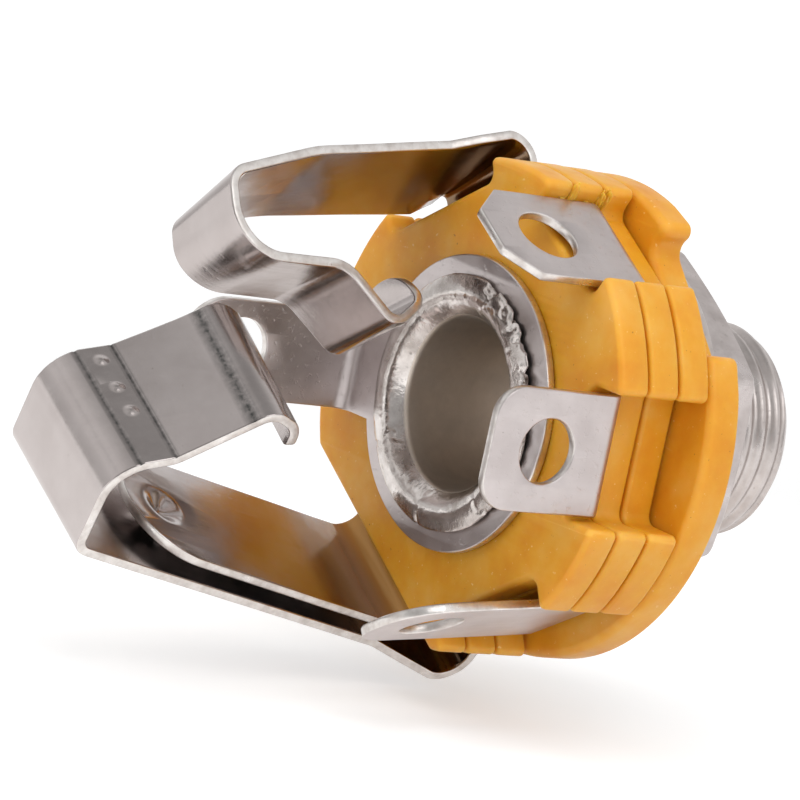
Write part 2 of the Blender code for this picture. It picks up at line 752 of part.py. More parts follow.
def tip_corners():
    """The tip spring's bends: root, fold, heel, step, the slope that meets the plug, and the curled end."""
    fold = WAFER_RADIUS - TIP_FOLD_INSET
    heel = fold - TIP_HEEL_DEPTH
    heel_reach = TIP_FOLD_REACH + TIP_HEEL_LEAN
    step_reach = heel_reach - TIP_STEP_LENGTH
    step = heel - TIP_STEP_DROP
    contact_reach = step_reach - TIP_CONTACT_LENGTH
    contact = step - TIP_CONTACT_DROP
    curl_reach = contact_reach - TIP_CURL_LENGTH
    curl = contact + TIP_CURL_RISE
    return [
        (STACK_REAR - TIP_PLANE, WAFER_RADIUS + TIP_ROOT_STAND, TIP_ROOT_BEND),
        (TIP_FOLD_REACH, fold, TIP_FOLD_BEND),
        (heel_reach, heel, TIP_HEEL_BEND),
        (step_reach, step, TIP_STEP_BEND),
        (contact_reach, contact, TIP_CONTACT_BEND),
        (curl_reach, curl, TIP_CURL_BEND),
        (curl_reach - TIP_CURL_LEAN, curl + TIP_CURL_END, 0),
    ]


def build_leaf(finish):
    slope = math.radians(LEAF_SLOPE)
    root_reach = STACK_REAR - SWITCH_PLANE
    run = LEAF_REACH - root_reach
    stub = run - LEAF_WIDTH
    leaf = spring(
        "switch_leaf",
        TIP_STATION,
        SWITCH_PLANE,
        LEAF_ROOT,
        [
            (root_reach, LEAF_OFFSET, LEAF_BEND),
            (root_reach + stub, LEAF_OFFSET - stub * math.tan(slope), 0),
        ],
        LEAF_WIDTH - LAP,
        finish,
    )
    # The flat of the leaf is drawn along its own slope, with a round end.
    start = 1.5 * LEAF_BEND / math.cos(slope)
    end = run / math.cos(slope)
    half = LEAF_WIDTH / 2
    plan = [(-start, half)] + arc((half - end, 0), half, 90, 270, 16) + [(-start, -half)]
    lay = Matrix(((0, 1, 0, 0), (1, 0, 0, 0), (0, 0, -1, 0), (0, 0, 0, 1)))
    pivot = (
        station(TIP_STATION)
        @ Matrix.Translation((0, SWITCH_PLANE, LEAF_OFFSET))
        @ Matrix.Rotation(slope, 4, "X")
    )
    flat = add("leaf_flat", outline_mesh("leaf_flat", [plan], STRIP + LAP), pivot @ lay)
    combine(leaf, flat, "UNION")
    # The dimple is pressed outwards: a cap on the outer face and a dish in the inner one.
    middle = pivot @ Matrix.Translation((0, DIMPLE_INSET - end, 0))
    cap = turned("leaf_dimple", dome(DIMPLE_RADIUS, DIMPLE_HEIGHT, STRIP / 2, 0), None, middle)
    combine(leaf, cap, "UNION")
    hollow = dome(DIMPLE_RADIUS - STRIP / 2, DIMPLE_HEIGHT, -STRIP / 2, -2 * STRIP)
    dish = turned("leaf_dish", hollow, None, middle)
    combine(leaf, dish, "DIFFERENCE")


def dome(radius, height, base, foot):
    """The profile of a domed plug, from the top of its dome down to a flat foot."""
    sphere = (radius**2 + height**2) / (2 * height)
    spread = math.degrees(math.asin(radius / sphere))
    curve = arc((0, base + height - sphere), sphere, 90, 90 - spread, 6)
    return [(0, base + height)] + curve[1:] + [(radius, foot), (0, foot)]


def build_hardware(finish):
    turned(
        "panel_washer",
        [
            (WASHER_RADIUS, WASHER_FRONT),
            (WASHER_RADIUS, SEAT_GAP),
            (WASHER_BORE, SEAT_GAP),
            (WASHER_BORE, WASHER_FRONT),
        ],
        finish,
    )
    corner = NUT_FLATS / math.sqrt(3)
    flat = NUT_FLATS / 2
    front = NUT_REAR + NUT_THICKNESS
    hexagon = [polar(corner, NUT_TURN + 60 * i) for i in range(6)]
    nut = add(
        "panel_nut",
        outline_mesh("panel_nut", [hexagon, circle(NUT_BORE)], NUT_THICKNESS),
        Matrix.Translation((0, (NUT_REAR + front) / 2, 0)) @ ACROSS_AXIS,
        finish,
    )
    slant = math.tan(math.radians(NUT_CHAMFER_ANGLE))
    wide = corner + NUT_CHAMFER
    rise = (wide - flat + NUT_CHAMFER) * slant
    over = NUT_CHAMFER * slant
    narrow = flat - 2 * NUT_CHAMFER
    barrel = turned(
        "nut_barrel",
        [
            (0, front + over),
            (narrow, front + over),
            (wide, front - rise),
            (wide, NUT_REAR + rise),
            (narrow, NUT_REAR - over),
            (0, NUT_REAR - over),
        ],
        None,
    )
    combine(nut, barrel, "INTERSECT")


clear_scene()
parts = new_collection("jack_socket", False)
cutters = new_collection("cutters", True)
AMBER = material("amber_nylon", (0.72, 0.32, 0.03), 0.0, 0.45)
NICKEL = material("nickel_plate", (0.62, 0.58, 0.55), 1.0, 0.28)
SPRING_METAL = material("spring_strip", (0.60, 0.57, 0.54), 1.0, 0.22)
build_bush(NICKEL)
build_insulators(AMBER)
build_contacts(SPRING_METAL)
build_springs(SPRING_METAL)
build_hardware(NICKEL)
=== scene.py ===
"""Looks of the open-frame jack socket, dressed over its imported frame.

Lengths are in millimetres until a mesh is made. Contacts are drawn flat, as the blanks they are stamped
from, with u along the strip, v across it and w through it, and are then bent along a path of straight
lines and arcs. A station is an angle round the bush's axis, from +Z towards -X.
"""

import math

import bmesh
import bpy
from mathutils import Matrix, Vector, noise
from mathutils.geometry import tessellate_polygon


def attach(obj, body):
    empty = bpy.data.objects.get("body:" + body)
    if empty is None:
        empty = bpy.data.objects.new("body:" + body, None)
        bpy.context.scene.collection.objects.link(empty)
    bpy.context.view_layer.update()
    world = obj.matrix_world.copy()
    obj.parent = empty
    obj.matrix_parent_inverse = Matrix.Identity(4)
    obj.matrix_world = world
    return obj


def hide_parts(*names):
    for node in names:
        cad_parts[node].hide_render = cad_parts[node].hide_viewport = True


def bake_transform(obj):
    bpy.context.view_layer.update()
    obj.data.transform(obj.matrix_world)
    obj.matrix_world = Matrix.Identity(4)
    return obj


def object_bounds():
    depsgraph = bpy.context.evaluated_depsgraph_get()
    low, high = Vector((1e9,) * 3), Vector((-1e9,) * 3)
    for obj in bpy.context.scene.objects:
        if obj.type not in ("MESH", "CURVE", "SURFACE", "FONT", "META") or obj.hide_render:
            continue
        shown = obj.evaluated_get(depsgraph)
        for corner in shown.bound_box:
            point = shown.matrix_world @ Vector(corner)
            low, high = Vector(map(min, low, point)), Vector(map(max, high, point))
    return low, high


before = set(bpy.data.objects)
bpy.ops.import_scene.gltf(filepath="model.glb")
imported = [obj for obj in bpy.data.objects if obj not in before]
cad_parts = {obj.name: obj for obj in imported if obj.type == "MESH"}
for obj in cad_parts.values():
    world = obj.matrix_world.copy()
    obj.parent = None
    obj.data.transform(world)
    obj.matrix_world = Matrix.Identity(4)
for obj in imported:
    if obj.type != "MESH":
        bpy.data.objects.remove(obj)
cad_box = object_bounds()

MM = 0.001
NOISE_SEED = 7
noise.seed_set(NOISE_SEED)

# Sizes that follow the solids
STRIP = 0.4
LUG_BEND = 0.45
RING_STATION = 30.0
SLEEVE_STATION = 90.0
TIP_STATION = 150.0
TIP_LUG_STATION = 210.0
SWITCH_LUG_STATION = 270.0
RING_LUG_STATION = 330.0
KEY_STATION = 315.0
TIP_PLANE = -1.73
FRONT_WAFER = -2.49
RING_PLANE = -3.25
MIDDLE_WAFER = -4.01
SWITCH_PLANE = -4.77
REAR_WAFER = -5.53
SLEEVE_PLANE = -6.29
STACK_REAR = -6.52
WAFER_RADIUS = 10.0
WAFER_THICKNESS = 1.06
POCKET_RADIUS = 9.0
POCKET_DEPTH = 0.34
FLANGE_RADIUS = 9.95
FLANGE_THICKNESS = 1.5
STACK_BORE = 5.13
BOSS_BORE = 4.03
BOSS_RADIUS = 5.08
BORE_RADIUS = 3.2
TUBE_RADIUS = 4.0
THREAD_RADIUS = 4.5
THREAD_DEPTH = 0.2
THREAD_PITCH = 0.75
THREAD_LENGTH = 7.6
COLLAR_RADIUS = 5.8
COLLAR_REAR = -0.88
COLLAR_FRONT = -0.03
PLATE_RADIUS = 7.3
SLEEVE_RING_RADIUS = 6.0
WASHER_BORE = 4.6
WASHER_RADIUS = 7.6
WASHER_REAR = 0.03
WASHER_FRONT = 0.93
NUT_REAR = 0.96
NUT_FRONT = 3.56
NUT_FLATS = 12.7
NUT_BORE = 4.55
NUT_TURN = -3.0
HOLE_RADIUS = 1.3
HOLE_INSET = 2.75
SLEEVE_LUG_OFFSET = 7.55
SWITCH_LUG_OFFSET = 8.1
RING_LUG_OFFSET = 8.85
TIP_LUG_OFFSET = 8.5
SPRING_ROOT = 7.55
LEAF_OFFSET = 10.05
LEAF_SLOPE = 14.2
RING_TWIST = 14.0

# Small shapes that only the looks have
STRIP_EDGES = (0.07, 0.07)
NOSE_INSET = 0.42
NOSE_RUN = 0.45
THREAD_RUNOUT = 0.6
WASHER_EDGE = 0.12
NUT_EASE = 0.3
NUT_SLANT = 18.0
NUT_MOUTH = 0.25
FLOOR_DROP = 0.6
FLOOR_HALF = 600
GLOW_REACH = 300.0

# How the swaged lip is worn, as angles round the axis
LIP_TORN = 0.65
LIP_CRACKS = (0.25, 1.32, 2.4, 3.75, 4.62, 5.5)

# How finely things are drawn
TURN_STEPS = 144
BUSH_STEPS = 288
NUT_STEPS = 240
THREAD_SAMPLES = 10
DOME_RINGS = 9
DOME_STEPS = 48
CORNER_STEPS = 6
SHARP_CORNER = 25.0
STRAIGHT_STEP = 1.4
ARC_STEP = 6.0
RIM_STEP = 2.5


def direction(start, end):
    length = math.dist(start[:2], end[:2])
    return (end[0] - start[0]) / length, (end[1] - start[1]) / length


def turn_between(into, out):
    return math.atan2(into[0] * out[1] - into[1] * out[0], into[0] * out[0] + into[1] * out[1])


def smooth_step(value):
    value = max(0.0, min(1.0, value))
    return value * value * (3 - 2 * value)


def arc(centre, radius, start, end, steps):
    """Points of an arc, with angles in degrees from the first axis towards the second."""
    made = []
    for i in range(steps + 1):
        turn = math.radians(start + (end - start) * i / steps)
        made.append((centre[0] + radius * math.cos(turn), centre[1] + radius * math.sin(turn)))
    return made


def circle(radius, centre=(0.0, 0.0), steps=TURN_STEPS):
    return arc(centre, radius, 0, 360, steps)[:-1]


def polar(radius, angle):
    turn = math.radians(angle)
    return -radius * math.sin(turn), radius * math.cos(turn)


def station_axes(angle):
    """The directions out from the axis and across it at a station."""
    turn = math.radians(angle)
    return Vector((-math.sin(turn), 0, math.cos(turn))), Vector((math.cos(turn), 0, math.sin(turn)))


def bent_path(corners):
    """Straight lines and arcs through (along, out, bend radius) corners, in order."""
    pieces = []
    place = corners[0][:2]
    for before, corner, after in zip(corners, corners[1:], corners[2:]):
        into = direction(before, corner)
        out = direction(corner, after)
        turn = turn_between(into, out)
        side = math.copysign(1, turn)
        cut = corner[2] * math.tan(abs(turn) / 2)
        start = (corner[0] - into[0] * cut, corner[1] - into[1] * cut)
        pieces.append(("line", place, into, math.dist(place, start)))
        centre = (start[0] - side * into[1] * corner[2], start[1] + side * into[0] * corner[2])
        pieces.append(("arc", centre, (corner[2], into, turn), corner[2] * abs(turn)))
        place = (corner[0] + out[0] * cut, corner[1] + out[1] * cut)
    into = direction(corners[-2], corners[-1])
    pieces.append(("line", place, into, math.dist(place, corners[-1][:2])))
    return pieces


def path_length(path):
    return sum(piece[-1] for piece in path)


def bend_marks(path):
    """Where each bend starts and ends along a path."""
    marks = []
    at = 0.0
    for piece in path:
        if piece[0] == "arc":
            marks.append((at, at + piece[-1]))
        at += piece[-1]
    return marks


def on_path(path, u):
    """The point and the heading of a path at a length along it, in along and out."""
    for index, piece in enumerate(path):
        if u <= piece[-1] or index == len(path) - 1:
            break
        u -= piece[-1]
    if piece[0] == "line":
        place, into = piece[1], piece[2]
        return (place[0] + into[0] * u, place[1] + into[1] * u), into
    centre, (radius, into, turn) = piece[1], piece[2]
    angle = math.copysign(u / radius, turn)
    heading = (
        into[0] * math.cos(angle) - into[1] * math.sin(angle),
        into[0] * math.sin(angle) + into[1] * math.cos(angle),
    )
    side = math.copysign(1, turn)
    return (centre[0] + side * heading[1] * radius, centre[1] - side * heading[0] * radius), heading


def bend_lines(path, first):
    """Where a blank is cut across so that it bends smoothly, with a few lines on its straight runs."""
    lines = []
    at = 0.0
    for piece in path:
        length = piece[-1]
        if piece[0] == "arc":
            steps = max(2, math.ceil(math.degrees(abs(piece[2][2])) / ARC_STEP))
        else:
            steps = max(1, math.ceil(length / STRAIGHT_STEP))
        lines += [at + length * k / steps for k in range(steps)]
        at += length
    return [u for u in lines if u > first]


def corner_points(before, corner, after, radius, steps):
    """The arc that rounds a corner of an outline."""
    path = bent_path([(*before, 0), (*corner, radius), (*after, 0)])
    start, end = bend_marks(path)[0]
    return [on_path(path, start + (end - start) * k / steps)[0] for k in range(steps + 1)]


def rounded_loop(points, radius):
    """A closed outline with its sharp corners rounded as far as their sides allow."""
    made = []
    count = len(points)
    for i, corner in enumerate(points):
        before, after = points[i - 1], points[(i + 1) % count]
        into = direction(before, corner)
        out = direction(corner, after)
        turn = turn_between(into, out)
        if abs(math.degrees(turn)) < SHARP_CORNER:
            made.append(corner)
            continue
        room = 0.45 * min(math.dist(before, corner), math.dist(corner, after))
        bend = min(radius, room / math.tan(abs(turn) / 2))
        made += corner_points(before, corner, after, bend, CORNER_STEPS)
    return made


def notched_disc(radius, notches, clear):
    """A disc's outline with parallel-sided notches, given as (station, width, floor) in rising order.

    The rim has no points within clear degrees of a notch, so that its corners can be rounded."""
    points = []
    for i, (angle, width, floor) in enumerate(notches):
        half = width / 2
        wall = math.degrees(math.asin(half / radius))
        foot = math.degrees(math.atan2(half, floor))
        for side in (-1, 1):
            rim = polar(radius, angle + side * wall)
            corner = polar(math.hypot(floor, half), angle + side * foot)
            corners = [rim, corner] if math.dist(rim, corner) > 0.05 else [corner]
            points += corners if side < 0 else corners[::-1]
        following = notches[(i + 1) % len(notches)]
        start = angle + wall
        end = following[0] - math.degrees(math.asin(following[1] / 2 / radius))
        end += 360 if end < start else 0
        span = end - start - 2 * clear
        steps = max(1, round(span / RIM_STEP))
        middle = (start + end) / 2
        if span > 0:
            points += [polar(radius, middle + span * (k / steps - 0.5)) for k in range(steps + 1)]
    return points


def inset_loop(points, distance):
    """A closed outline moved to its left, which is into the material."""
    made = []
    count = len(points)
    for i, point in enumerate(points):
        into = direction(points[i - 1], point)
        out = direction(point, points[(i + 1) % count])
        share = distance / max(0.3, 1 + into[0] * out[0] + into[1] * out[1])
        made.append((point[0] - (into[1] + out[1]) * share, point[1] + (into[0] + out[0]) * share))
    return made


def face_outwards(made):
    bmesh.ops.recalc_face_normals(made, faces=made.faces)


def rounded_plate(loops, thickness, edges, steps=3, domes=()):
    """A flat plate with rounded edges: the first loop runs left-handed round it and the rest are holes.

    edges holds the radii on its upper and lower faces. A dome is (centre, radius, height): the plate is
    pressed out there on both faces."""
    made = bmesh.new()
    half = thickness / 2
    profile = []
    for edge, side in zip(edges, (1, -1)):
        curve = []
        for k in range(steps + 1):
            turn = math.radians(90 * k / steps)
            curve.append((edge * (1 - math.sin(turn)), side * (half - edge * (1 - math.cos(turn)))))
        profile += curve[::side]
    caps = {1: [], -1: []}
    for loop in loops:
        rings = []
        for inset, w in profile:
            rings.append([made.verts.new((u, v, w)) for u, v in inset_loop(loop, inset)])
        for ring, following in zip(rings, rings[1:]):
            join_rings(made, ring, following)
        caps[1].append(rings[0])
        caps[-1].append(rings[-1])
    for side, rings in caps.items():
        for dome in domes:
            rings.append(press_dome(made, side * half, *dome))
        flat = [vert for ring in rings for vert in ring]
        for corners in tessellate_polygon([[vert.co for vert in ring] for ring in rings]):
            made.faces.new([flat[i] for i in corners])
    face_outwards(made)
    return made


def join_rings(made, ring, following):
    faces = []
    for i in range(len(ring)):
        after = (i + 1) % len(ring)
        faces.append(made.faces.new((ring[i], ring[after], following[after], following[i])))
    return faces


def press_dome(made, w, centre, radius, height):
    """Rings of points over a dome, closed at its middle. It returns the rim."""
    rim = None
    before = None
    for k in range(DOME_RINGS, 0, -1):
        lift = height * smooth_step(1 - k / DOME_RINGS)
        outline = circle(radius * k / DOME_RINGS, centre, DOME_STEPS)
        ring = [made.verts.new((u, v, w + lift)) for u, v in outline]
        if before:
            join_rings(made, before, ring)
        rim = rim or ring
        before = ring
    middle = made.verts.new((*centre, w + height))
    for i in range(DOME_STEPS):
        made.faces.new((before[i], before[(i + 1) % DOME_STEPS], middle))
    return rim


def cut_across(made, lines):
    for u in lines:
        everything = made.verts[:] + made.edges[:] + made.faces[:]
        bmesh.ops.bisect_plane(made, geom=everything, dist=1e-5, plane_co=(u, 0, 0), plane_no=(1, 0, 0))


def press_creases(made, creases):
    """Presses grooves across a blank's lower face, and paints shade there and between them: dark lines and
    bands that stand for dark reflections in the creases.

    A crease is (u, half width, depth, painted shade, painted shade beyond it)."""
    layer = made.verts.layers.float.new("crease_shade")
    for u, half, depth, crease_shade, beyond in creases:
        cut_across(made, [u + half * k for k in (-2, -1, 0, 1, 2)])
    for vert in made.verts:
        for u, half, depth, crease_shade, beyond in creases:
            apart = (vert.co.x - u) / half
            if apart > -1.5:
                vert[layer] = beyond
            if abs(apart) < 1.5:
                share = 1 - 0.6 * min(1, abs(apart))
                vert[layer] = max(beyond, crease_shade * share)
                if vert.co.z < 0 and abs(apart) < 0.5:
                    vert.co.z += depth


def paint_root_reflection(made, start, end, kind="root_shade"):
    """Paints a reflection onto a spring where it leaves the stack, fading out by the end of its first bend:
    by default a dark brown painted shade, otherwise the layer that kind names.
    """
    layer = made.verts.layers.float.new(kind)
    for vert in made.verts:
        vert[layer] = 1 - smooth_step((vert.co.x - start) / (end - start))


def mark_blank(made):
    """Lays out the blank for its textures, in centimetres. Its sheared edges get the second finish."""
    layer = made.loops.layers.uv.new("blank")
    made.normal_update()
    for face in made.faces:
        sheared = abs(face.normal.z) < 0.75
        face.material_index = int(sheared)
        for loop in face.loops:
            u, v, w = loop.vert.co
            loop[layer].uv = (u / 10, (v + w if sheared else v) / 10)


def bend_blank(made, path, angle, shift=None):
    """Moves a flat blank onto its path at a station. shift gives extra moves along and out for a point."""
    out, across = station_axes(angle)
    for vert in made.verts:
        u, v, w = vert.co
        (along, away), heading = on_path(path, u)
        extra = shift(u, v, along, away) if shift else (0.0, 0.0)
        along += extra[0] - heading[1] * w
        away += extra[1] + heading[0] * w
        vert.co = out * away + across * v + Vector((0, along, 0))
    face_outwards(made)


def new_object(name, data):
    made = bpy.data.objects.new(name, data)
    bpy.context.scene.collection.objects.link(made)
    return made


def carve(made, cutters):
    """Cuts closed meshes out of another, and returns what is left."""
    holders = []
    for source in [made] + cutters:
        mesh = bpy.data.meshes.new("carved")
        source.to_mesh(mesh)
        source.free()
        holders.append(new_object("carved", mesh))
    for cutter in holders[1:]:
        boolean = holders[0].modifiers.new("Carve", "BOOLEAN")
        boolean.operation = "DIFFERENCE"
        boolean.solver = "EXACT"
        boolean.object = cutter
    bpy.context.view_layer.update()
    graph = bpy.context.evaluated_depsgraph_get()
    left = bmesh.new()
    left.from_mesh(holders[0].evaluated_get(graph).to_mesh())
    for holder in holders:
        mesh = holder.data
        bpy.data.objects.remove(holder, do_unlink=True)
        bpy.data.meshes.remove(mesh)
    return left


def wobble(made, amount, size, seed, along=1.0):
    """Makes metal and mouldings a little uneven, as real ones are. along says how much so along the axis."""
    offset = Vector((seed * 7.3, seed * 3.1, seed * 5.7))
    for vert in made.verts:
        move = noise.noise_vector(vert.co / size + offset) * amount
        vert.co += move * Vector((1.0, along, 1.0))


def finish_piece(name, made, finishes, sharpest=None):
    """Makes an object of a mesh drawn in millimetres, shaded smooth but for edges sharper than an angle."""
    for vert in made.verts:
        vert.co *= MM
    for face in made.faces:
        face.smooth = True
    if sharpest:
        for edge in made.edges:
            edge.smooth = edge.calc_face_angle(0.0) < math.radians(sharpest)
    mesh = bpy.data.meshes.new(name)
    made.to_mesh(mesh)
    made.free()
    for finish in finishes:
        mesh.materials.append(finish)
    return new_object(name, mesh)


def weigh_normals(piece):
    """Keeps wide flats flat beside their rounded edges."""
    weighted = piece.modifiers.new("Flats", "WEIGHTED_NORMAL")
    weighted.weight = 90
    weighted.keep_sharp = True


def turned_row(made, radius, along, steps, displace=None):
    """A ring of points round the axis."""
    row = []
    for i in range(steps):
        turn = 2 * math.pi * i / steps
        r, y = displace(radius, along, turn) if displace else (radius, along)
        row.append(made.verts.new((r * math.cos(turn), y, r * math.sin(turn))))
    return row


def lathe(made, profile):
    """Turns a closed profile of (radius, along) points round the axis."""
    rows = [turned_row(made, radius, along, TURN_STEPS) for radius, along in profile]
    for row, after in zip(rows, rows[1:] + rows[:1]):
        join_rings(made, row, after)


def lathe_open(made, profile, displace, plain, finish):
    """Turns an open profile. Its first rows, as many as plain says, keep the first finish."""
    rows = [turned_row(made, radius, along, BUSH_STEPS, displace) for radius, along in profile]
    for j, (row, after) in enumerate(zip(rows, rows[1:])):
        for face in join_rings(made, row, after):
            face.material_index = finish if j >= plain else 0


def between(a, b, c, d, t):
    """The value of a smooth line a share of the way from b to c, with a before them and d after."""
    bent = 2 * b + (c - a) * t + (2 * a - 5 * b + 4 * c - d) * t * t
    return 0.5 * (bent + (3 * b - a - 3 * c + d) * t**3)


def smooth_curve(points, steps):
    """A smooth line through points."""
    made = []
    for i in range(len(points) - 1):
        before = points[max(i - 1, 0)]
        after = points[min(i + 2, len(points) - 1)]
        for k in range(steps):
            values = zip(before, points[i], points[i + 1], after)
            made.append(tuple(between(*value, k / steps) for value in values))
    made.append(tuple(points[-1]))
    return made


# Materials

PALE_SPECK = (0.88, 0.64, 0.30)
DARK_SPECK = (0.34, 0.12, 0.01)
SCUFF = (0.90, 0.60, 0.25)
WORN_EDGE = (0.88, 0.53, 0.13)
STRIP_SPECK = (0.14, 0.10, 0.075)
# Painted shade: dark lines and bands in the tip spring's creases, standing for the dark things they mirror.
CREASE_SHADE = (0.055, 0.058, 0.055)
# Painted shade: dark brown at the springs' roots, standing for the mirrored shaded wafer face.
ROOT_SHADE = (0.19, 0.105, 0.04)
# Painted reflection: flat amber on the leaf's root bend, standing for the amber wafers it mirrors.
ROOT_AMBER_REFLECTION = (0.48, 0.235, 0.035)
TURNED_SPECK = (0.10, 0.075, 0.055)
FLOOR_COLOUR = (0.86, 0.86, 0.86, 1)


def new_material(name):
    made = bpy.data.materials.new(name)
    made.use_nodes = True
    tree = made.node_tree
    return made, tree, tree.nodes["Principled BSDF"]


def node(tree, kind, settings=None, **values):
    """A shader node with its settings, and its inputs as numbers or as sockets to link."""
    made = tree.nodes.new("ShaderNode" + kind)
    for key, value in (settings or {}).items():
        setattr(made, key, value)
    for key, value in values.items():
        connect(tree, value, made.inputs[key.replace("_", " ")])
    return made


def connect(tree, value, socket):
    if isinstance(value, bpy.types.NodeSocket):
        tree.links.new(value, socket)
    else:
        socket.default_value = value


def ramp(tree, factor, stops):
    """A colour ramp through (position, grey or colour) stops."""
    made = tree.nodes.new("ShaderNodeValToRGB")
    elements = made.color_ramp.elements
    while len(elements) < len(stops):
        elements.new(0.5)
    for element, (position, value) in zip(elements, stops):
        element.position = position
        element.color = (value, value, value, 1) if isinstance(value, float) else (*value, 1)
    connect(tree, factor, made.inputs["Fac"])
    return made.outputs["Color"]


def mix(tree, factor, first, second, blend="MIX"):
    made = tree.nodes.new("ShaderNodeMix")
    made.data_type = "RGBA"
    made.blend_type = blend
    connect(tree, factor, made.inputs[0])
    for value, socket in ((first, made.inputs[6]), (second, made.inputs[7])):
        connect(tree, (*value, 1) if isinstance(value, tuple) and len(value) == 3 else value, socket)
    return made.outputs[2]


def math_node(tree, operation, first, second=0.0):
    made = tree.nodes.new("ShaderNodeMath")
    made.operation = operation
    connect(tree, first, made.inputs[0])
    connect(tree, second, made.inputs[1])
    return made.outputs[0]


def in_millimetres(tree, stretch=(1.0, 1.0, 1.0), blank=False):
    """Places on the object, or on its blank, in millimetres, drawn out as a texture needs."""
    coordinates = node(tree, "TexCoord")
    size = 10.0 if blank else 1000.0
    mapping = node(tree, "Mapping", Scale=tuple(size * s for s in stretch))
    tree.links.new(coordinates.outputs["UV" if blank else "Object"], mapping.inputs["Vector"])
    return mapping.outputs["Vector"]


def noise_at(tree, places, scale, detail=3.0, roughness=0.55):
    made = node(tree, "TexNoise", Vector=places, Scale=scale, Detail=detail, Roughness=roughness)
    return made.outputs["Fac"]


def bump(tree, height, strength, depth, normal=None):
    made = node(tree, "Bump", Height=height, Strength=strength, Distance=depth * MM)
    if normal:
        tree.links.new(normal, made.inputs["Normal"])
    return made.outputs["Normal"]


def amber_nylon():
    """Moulded amber nylon: waxy and golden, a little mottled, with a few specks, scuffs and paler edges."""
    made, tree, shader = new_material("amber_nylon")
    places = in_millimetres(tree)
    mottle = noise_at(tree, places, 0.45, 4.0)
    colour = ramp(
        tree,
        mottle,
        [(0.3, (0.67, 0.262, 0.008)), (0.5, (0.72, 0.325, 0.018)), (0.72, (0.75, 0.390, 0.060))],
    )
    specks = ramp(tree, noise_at(tree, places, 5.5, 2.0), [(0.70, 0.0), (0.77, 0.8)])
    colour = mix(tree, specks, colour, PALE_SPECK)
    dirt = ramp(tree, noise_at(tree, places, 4.2, 2.0), [(0.23, 0.8), (0.27, 0.0)])
    colour = mix(tree, dirt, colour, DARK_SPECK)
    scratch_places = in_millimetres(tree, (0.25, 1.0, 3.2))
    scratches = ramp(tree, noise_at(tree, scratch_places, 1.9, 5.0, 0.7), [(0.67, 0.0), (0.72, 1.0)])
    colour = mix(tree, math_node(tree, "MULTIPLY", scratches, 0.22), colour, SCUFF)
    geometry = node(tree, "NewGeometry")
    worn = ramp(tree, geometry.outputs["Pointiness"], [(0.52, 0.0), (0.62, 1.0)])
    colour = mix(tree, math_node(tree, "MULTIPLY", worn, 0.4), colour, WORN_EDGE)
    tree.links.new(colour, shader.inputs["Base Color"])
    rough = ramp(tree, noise_at(tree, places, 1.3, 3.0), [(0.3, 0.36), (0.7, 0.5)])
    tree.links.new(rough, shader.inputs["Roughness"])
    swell = bump(tree, noise_at(tree, places, 0.8, 2.0), 0.3, 0.12)
    grain = bump(tree, noise_at(tree, places, 9.0, 3.0), 0.2, 0.02, swell)
    marked = bump(tree, scratches, 0.25, 0.02, grain)
    tree.links.new(marked, shader.inputs["Normal"])
    shader.inputs["Subsurface Weight"].default_value = 0.5
    shader.inputs["Subsurface Radius"].default_value = (1.0, 0.45, 0.06)
    shader.inputs["Subsurface Scale"].default_value = 1.2 * MM
    shader.inputs["IOR"].default_value = 1.5
    shader.inputs["Specular IOR Level"].default_value = 0.42
    return made


def nickel_strip(name, light, dark, roughness, unevenness, pits):
    """Rolled nickel-plated strip: fine lines along it, faint clouds, pits and specks.

    Painted shade in the creases, painted dark brown reflections at the roots and a painted amber reflection
    on the leaf's root come from layers of the mesh."""
    made, tree, shader = new_material(name)
    places = in_millimetres(tree, blank=True)
    along = in_millimetres(tree, (0.12, 4.0, 1.0), blank=True)
    cloud = noise_at(tree, places, 0.5, 4.0)
    colour = ramp(tree, cloud, [(0.32, dark), (0.68, light)])
    specks = ramp(tree, noise_at(tree, places, 4.5, 2.0), [(0.23, 1.0), (0.27, 0.0)])
    colour = mix(tree, math_node(tree, "MULTIPLY", specks, 0.5), colour, STRIP_SPECK)
    # Painted shade in the creases, mottled by the blotches.
    crease_shade = node(tree, "Attribute", {"attribute_name": "crease_shade"}).outputs["Fac"]
    blotches = ramp(tree, noise_at(tree, places, 3.2, 4.0, 0.7), [(0.36, 0.5), (0.6, 1.0)])
    colour = mix(tree, math_node(tree, "MULTIPLY", crease_shade, blotches), colour, CREASE_SHADE)
    # Painted shade at the springs' roots.
    root_shade = node(tree, "Attribute", {"attribute_name": "root_shade"}).outputs["Fac"]
    colour = mix(tree, math_node(tree, "MULTIPLY", root_shade, 0.9), colour, ROOT_SHADE)
    # Painted amber reflection on the leaf's root, made less metallic there.
    amber_reflection = node(tree, "Attribute", {"attribute_name": "amber_reflection"}).outputs["Fac"]
    colour = mix(tree, amber_reflection, colour, ROOT_AMBER_REFLECTION)
    tree.links.new(colour, shader.inputs["Base Color"])
    metal = math_node(tree, "SUBTRACT", 1.0, math_node(tree, "MULTIPLY", amber_reflection, 0.9))
    tree.links.new(metal, shader.inputs["Metallic"])
    lines = noise_at(tree, along, 1.6, 4.0, 0.65)
    rough = ramp(tree, mix(tree, 0.5, lines, cloud), [(0.35, roughness[0]), (0.65, roughness[1])])
    tree.links.new(rough, shader.inputs["Roughness"])
    uneven = bump(tree, noise_at(tree, places, 0.42, 2.0), unevenness, 0.10)
    rolled = bump(tree, lines, 0.14, 0.012, uneven)
    pitted = ramp(tree, noise_at(tree, places, 3.2, 3.0, 0.6), [(0.3, 0.0), (0.42, 1.0)])
    tree.links.new(bump(tree, pitted, pits, 0.03, rolled), shader.inputs["Normal"])
    return made


